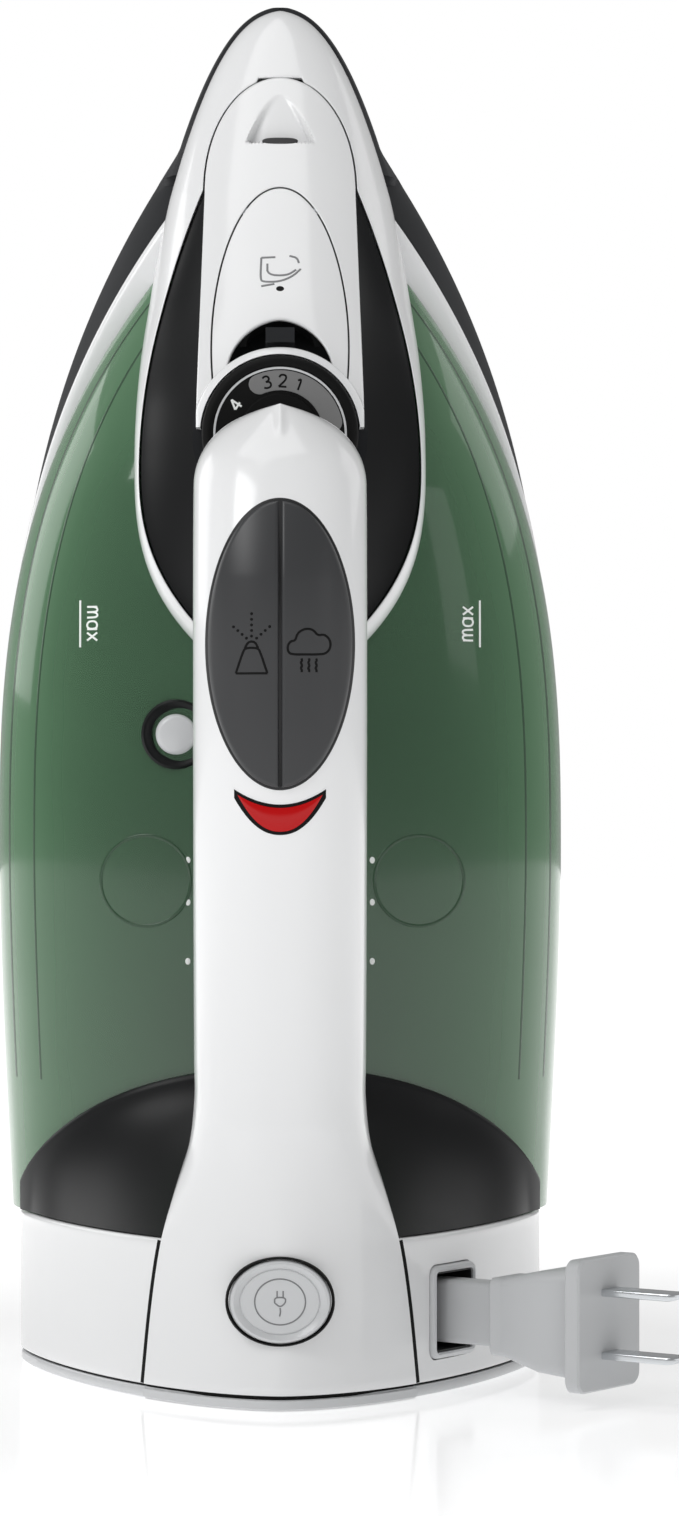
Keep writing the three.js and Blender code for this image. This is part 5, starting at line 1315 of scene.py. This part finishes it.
class IRON_OT_heel(bpy.types.Operator):
    """White heel, its plate, the black rear saddle, rewind button and plug pocket"""

    bl_idname = "iron.heel"
    bl_label = "Heel and rear saddle"

    def execute(self, context):
        self.housing()
        self.saddle()
        self.rewind()
        self.pocket()
        return {"FINISHED"}

    def housing(self):
        """A cup with the heel's outline: rounded outside edges, and an opening for the pocket."""
        start, end = 2.75, HEEL_DEPTH
        steps = [(30.7, 2.3), (start, 2.3)]
        steps += [(start + v, float(rounded_drop(np.array(v), 0.7))) for v in (0.0, 0.1, 0.25, 0.45, 0.7)]
        steps += [(z, 0.0) for z in np.linspace(5, 30, 8)]
        steps += [(end - v, float(rounded_drop(np.array(v), 1.0))) for v in (1.0, 0.6, 0.3, 0.1, 0.0)]
        housing = make_piece(
            "white_heel", sleeve(heel_rings(steps)), "iron", "white_shell", finish("white"), "heel_housing"
        )
        carve(housing, [plug_sleeve([(-14, 16.7, 19.7, 2.2), (20, 16.7, 19.7, 2.2)])])
        plate = [(0.0, 1.1), (0.12, 0.7), (0.4, 0.4), (0.9, 0.25), (2.0, 0.25), (2.3, 0.5)]
        make_piece("heel_foot", sleeve(heel_rings(plate)), "iron", "pale_grey", finish("pale"), "heel_plate")
        seam = [(2.0, 1.3), (3.2, 1.3)]
        make_piece("heel_seam", sleeve(heel_rings(seam)), "iron", "black_trim", finish("ink"))
        self.tread("foot_plate", [(0.0, 0.6), (0.3, 0.2), (1.9, 0.2), (2.1, 0.5)], "pale_grey", "pale")
        self.tread("foot_seam", [(1.9, 0.9), (3.2, 0.9)], "black_trim", "ink")
        zs = np.linspace(3.0, 32.6, 24)
        sides = [np.stack([side * (flare(zs) + 0.35), zs], axis=1) for side in (-1, 1)]
        grids = strokes(sides, 0.75, 0.06, lambda x, z: arch(x) + 0 * z, round_steps=0)
        make_piece("foot_side_seams", grids, "iron", "black_trim", finish("ink"))

    def tread(self, name, steps, slot, colour):
        """A slice of the handle's foot where it stands: its outline drawn in at each (z, inset)."""
        z, inset = np.array(steps, float).T[:, :, None]
        x = (28.2 - inset) * spans(80)
        h = handle_h(x * 28.2 / (28.2 - inset), 0 * z) - inset
        grids = slab(place(x, h, z), place(x, 104.0, z))
        make_piece(name, grids, "iron", slot, finish(colour))

    def saddle(self):
        """The rear saddle: rows run from the heel to its curved front edge."""
        t = np.linspace(0, 1, 48)[:, None]
        x = 56.3 * spans(120) + 0 * t
        rear = HEEL_DEPTH + 0.3
        z = rear + (rear_saddle_edge(x) - rear) * t
        h = rear_saddle_h(x, z)
        d = (rear_saddle_edge(x) - z) * 0.9
        h = h - 0.6 * rounded_drop(np.minimum(d, 60), 0.9)
        grids = slab(place(x, h, z), place(x, h - 1.4, z))
        make_piece("dark_rear_saddle", grids, "iron", "black_trim", finish("black"), "rear_saddle")

    def rewind(self):
        """The cord's rewind button in its ring, and the plug symbol on it."""
        low, high = (np.array(p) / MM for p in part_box("rewind_ring"))
        top = SOLE_Y - low[1]
        wide, tall = (high[0] - low[0]) / 2, (high[2] - low[2]) / 2
        squeeze = (1.0, tall / wide)
        centre = (0, 0, (low[2] + high[2]) / 2)
        ring = [
            (wide, top - 3), (wide, top - 0.35), (wide - 0.25, top), (wide - 0.45, top),
            (wide - 0.6, top - 0.6), (wide - 0.6, top - 3),
        ]
        rim = lathe(centre, ring, 120, squeeze)
        make_piece("rewind_rim", rim, "iron", "black_trim", finish("ink"), "rewind_ring")
        r = wide - 0.75
        cap = [
            (0.0, top - 0.2), (r - 2.5, top - 0.2), (r - 2.2, top - 0.45), (r - 1.95, top - 0.2),
            (r - 0.9, top + 0.35), (r - 0.35, top + 0.2), (r, top - 0.35), (r, top - 3), (0.0, top - 3),
        ]
        cap = lathe(centre, cap, 120, squeeze)
        make_piece("rewind_cap", cap, "rewind", "pale_grey", finish("pale"), "rewind_button")

        def face(x, z):
            return top - 0.2 + 0 * np.asarray(x)

        z0 = centre[2]
        a = np.linspace(0, 2 * np.pi, 49)
        circle = [(5.1 * math.cos(v), z0 + 4.6 * math.sin(v)) for v in a]
        plug = [
            [(-1.1, z0 - 0.2), (-1.1, z0 + 0.9), (1.1, z0 + 0.9), (1.1, z0 - 0.2), (0.0, z0 - 1.1),
             (-1.1, z0 - 0.2)],
            [(-0.6, z0 + 1.0), (-0.6, z0 + 2.2)], [(0.6, z0 + 1.0), (0.6, z0 + 2.2)],
            [(0.0, z0 - 1.2), (0.1, z0 - 2.0), (-0.1, z0 - 2.9)],
        ]
        grids = strokes([circle] + plug, 0.3, 0.1, face)
        make_piece("rewind_symbol", grids, "rewind", "pale_grey", finish("emboss"))

    def pocket(self):
        """The plug's pocket: a pale rounded frame, with painted shade inside: a near-black plate and thin
        sleeve deep in the pocket.
        """
        steps = [(-13, 0), (0.4, 0), (1.0, 0.3), (1.2, 0.9), (0.9, 1.3), (-12.0, 1.5)]
        rings = []
        for t, inset in steps:
            ring = rounded_box_ring(16.2 - 2 * inset, 19.2 - 2 * inset, max(2.2 - inset, 0.6))
            rings.append(plug_place(t, ring[:, 0], ring[:, 1]))
        rings = np.stack(rings)
        make_piece("pocket_frame", sleeve(rings), "iron", "white_shell", finish("pale"), "plug_pocket")
        shade_liner = plug_sleeve([(-11.9, 13.3, 16.3, 0.9), (-11.4, 13.3, 16.3, 0.9)])
        shade_liner += self.tube(13.25, 16.25, -11.9, 0.55)
        make_piece("pocket_shade_liner", shade_liner, "iron", "black_trim", finish("dark"))

    def tube(self, wide, tall, start, end):
        """A thin rectangular tube along the plug's axis."""
        outer = rounded_box_ring(wide, tall, 0.8)
        inner = rounded_box_ring(wide - 0.5, tall - 0.5, 0.6)
        corners = ((start, outer), (end, outer), (end, inner), (start, inner))
        rings = [plug_place(t, r[:, 0], r[:, 1]) for t, r in corners]
        return [(np.stack(rings), True, True)]


class IRON_OT_plug(bpy.types.Operator):
    """Plug at the cord's end, and the cord between the reel and the plug"""

    bl_idname = "iron.plug"
    bl_label = "Plug and cord"

    def execute(self, context):
        body = plug_sleeve(
            [
                (-7.8, 6.6, 12.4, 1.0), (-7.5, 7.2, 13.0, 1.2), (13.0, 7.2, 13.0, 1.2),
                (13.4, 12.0, 15.4, 1.2), (13.7, 12.6, 16.0, 1.5), (16.0, 12.6, 16.0, 1.5),
                (16.6, 13.0, 16.4, 2.0), (26.0, 18.0, 20.6, 2.5), (33.6, 17.0, 22.4, 3.0),
                (35.0, 15.6, 22.4, 3.0), (35.1, 23.0, 26.2, 2.4), (35.4, 23.6, 26.8, 2.6),
                (38.1, 23.6, 26.8, 2.6), (38.5, 22.8, 26.0, 2.3),
            ]
        )
        make_piece("plug_moulding", body, "plug", "cord_rubber", finish("plug"), "plug_body")
        for k, side in ((1, 1), (2, -1)):
            rings = []
            for t, wide, thick in ((35.6, 6.3, 1.5), (53.6, 6.3, 1.5), (54.6, 5.6, 1.3), (55.0, 4.6, 0.9)):
                ring = rounded_box_ring(wide, thick, min(0.35, thick / 3), 4)
                rings.append(plug_place(t, ring[:, 0], ring[:, 1] + side * 6.35))
            pin = sleeve(np.stack(rings))
            make_piece(f"plug_pin_{k}", pin, "plug", "steel", finish("steel"), f"plug_blade_{k}")
        self.lead()
        return {"FINISHED"}

    def lead(self):
        """The cord from the winding to the plug: a cubic between the two, leaving each in line."""
        r = 33.8 + 2.6 + SEAM
        a = math.radians(-96)
        centre_y = SOLE_Y - 52.5
        start = np.array([r * math.cos(a), centre_y + r * math.sin(a), PLUG_MOUTH[2]])
        heading = np.array([-math.sin(a), math.cos(a), 0.0])
        out = np.array([math.cos(PLUG_TURN), -math.sin(PLUG_TURN), 0.0])
        end = np.array(PLUG_MOUTH) + out * (-8.35)
        t = np.linspace(0, 1, 40)[:, None]
        p1, p2 = start + 12 * heading, end - 8 * out
        path = start * (1 - t) ** 3 + 3 * p1 * t * (1 - t) ** 2 + 3 * p2 * t * t * (1 - t) + end * t**3
        lead = make_piece("cord_run", tube_along(path, 2.6), None, "cord_rubber", finish("cord"), "cord_lead")
        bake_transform(lead)


class IRON_OT_details(bpy.types.Operator):
    """Self-clean button, level marks and the ribs of the tank"""

    bl_idname = "iron.details"
    bl_label = "Small details"

    def execute(self, context):
        self.self_clean()
        self.marks()
        return {"FINISHED"}

    def self_clean(self):
        """A dark sunk ring on the tank with a pale domed cap in it."""
        low, high = (np.array(p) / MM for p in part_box("auto_clean_ring"))
        cap_low = np.array(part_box("auto_clean_button")[0]) / MM
        top, r = SOLE_Y - low[1], (high[0] - low[0]) / 2
        centre = ((low[0] + high[0]) / 2, 0, (low[2] + high[2]) / 2)
        ring = [
            (r, top - 4), (r, top - 0.5), (r - 0.5, top), (r - 1.0, top - 0.1),
            (r - 2.2, top - 1.2), (r - 2.4, top - 4),
        ]
        ring = lathe(centre, ring, 72)
        make_piece("self_clean_ring", ring, "iron", "black_trim", finish("black"), "auto_clean_ring")
        cap_top, cap_r = SOLE_Y - cap_low[1], 4.3
        cap = [
            (0, cap_top), (cap_r - 1.2, cap_top), (cap_r - 0.4, cap_top - 0.35),
            (cap_r, cap_top - 1.0), (cap_r, cap_top - 4), (0, cap_top - 4),
        ]
        cap = lathe(centre, cap, 72)
        make_piece("self_clean_cap", cap, "self_clean", "pale_grey", finish("pale"), "auto_clean_button")

    def marks(self):
        """The word max and a line on each side of the tank, and the tank's round bosses."""
        def skin(x, z):
            return np.maximum(tank_h(x, z), 38.4)

        paths = []
        for side, turn in ((-1, -math.pi / 2), (1, math.pi / 2)):
            paths += digit_paths("max", (side * 40.0, 159.6), 2.2, turn)
            paths.append([(side * 42.6, 154.6), (side * 42.6, 164.6)])
        grids = strokes(paths, 0.42, 0.07, skin)
        make_piece("level_marks", grids, "iron", "white_shell", finish("white ink"))
        a = np.linspace(0, 2 * np.pi, 61)
        rings = [[(x0 + 9.6 * math.cos(v), 105 + 9.6 * math.sin(v)) for v in a] for x0 in (-28.5, 29.5)]
        make_piece("tank_bosses", strokes(rings, 0.7, 0.12, skin), "iron", "clear_green", finish("line"))
        tabs = [
            disc((side * 19.5, z), 0.55, 0.1, skin, 1.3, rings=3, around=16)
            for side in (-1, 1)
            for z in (88, 100.5, 109.4)
        ]
        make_piece("level_tabs", sum(tabs, []), "iron", "white_shell", finish("white ink"))
        zs = np.linspace(62, 238, 90)
        lines = []
        for inset, last in ((3.2, 238.0), (9.0, 232.0)):
            here = zs[zs <= last]
            lines += [np.stack([side * (tank_half(here) - inset), here], axis=1) for side in (-1, 1)]
        grids = strokes(lines, 0.45, 0.05, skin, round_steps=0)
        make_piece("tank_lines", grids, "iron", "clear_green", finish("line"))


class IRON_OT_inside(bpy.types.Operator):
    """Finishes for the pieces that stay as the frame has them"""

    bl_idname = "iron.inside"
    bl_label = "Inner pieces"

    def execute(self, context):
        by_slot = {
            "white_shell": "white", "charcoal_trim": "charcoal", "black_trim": "black",
            "clear_green": "green", "pale_grey": "pale", "red_lens": "lens", "steel": "steel",
            "cast_aluminium": "cast", "brass": "brass", "cord_rubber": "cord", "board": "board",
        }
        wanted = {}
        for item in frame["record"]["materials"]:
            for node in item.get("nodes", []):
                wanted[node] = item["slot"]
        for name, node in frame["nodes"].items():
            if node.hide_render:
                continue
            slot = wanted.get(name)
            if slot is None and node.data.materials and node.data.materials[0]:
                slot = node.data.materials[0].name.split(".")[0]
            colour = finish(by_slot.get(slot, "black"))
            if not node.data.materials:
                node.data.materials.append(colour)
            for place_in in range(len(node.material_slots)):
                node.material_slots[place_in].material = colour
        return {"FINISHED"}


class IRON_PT_panel(bpy.types.Panel):
    """Steam iron pieces"""

    bl_idname = "IRON_PT_panel"
    bl_label = "Steam Iron"
    bl_space_type = "VIEW_3D"
    bl_region_type = "UI"
    bl_category = "Steam Iron"

    def draw(self, context):
        layout = self.layout
        for settings in (context.scene.iron_shape, context.scene.iron_colours):
            box = layout.box()
            for key in settings.__annotations__:
                box.prop(settings, key)
        for piece in PIECES:
            layout.operator(piece.bl_idname)


SETTINGS = (IronShape, IronColours)
PIECES = (
    IRON_OT_stage,
    IRON_OT_body,
    IRON_OT_nose,
    IRON_OT_door,
    IRON_OT_dial,
    IRON_OT_handle,
    IRON_OT_buttons,
    IRON_OT_heel,
    IRON_OT_plug,
    IRON_OT_details,
    IRON_OT_inside,
)


def register():
    """Registers the settings, the operators and the panel."""
    for made in (*SETTINGS, *PIECES, IRON_PT_panel):
        bpy.utils.register_class(made)
    bpy.types.Scene.iron_shape = bpy.props.PointerProperty(type=IronShape)
    bpy.types.Scene.iron_colours = bpy.props.PointerProperty(type=IronColours)


def unregister():
    """Takes them away again."""
    del bpy.types.Scene.iron_colours
    del bpy.types.Scene.iron_shape
    for made in (IRON_PT_panel, *PIECES[::-1], *SETTINGS[::-1]):
        bpy.utils.unregister_class(made)


def main():
    """Registers the add-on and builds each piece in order."""
    register()
    for piece in PIECES:
        group, name = piece.bl_idname.split(".")
        getattr(getattr(bpy.ops, group), name)()


if __name__ == "__main__":
    main()
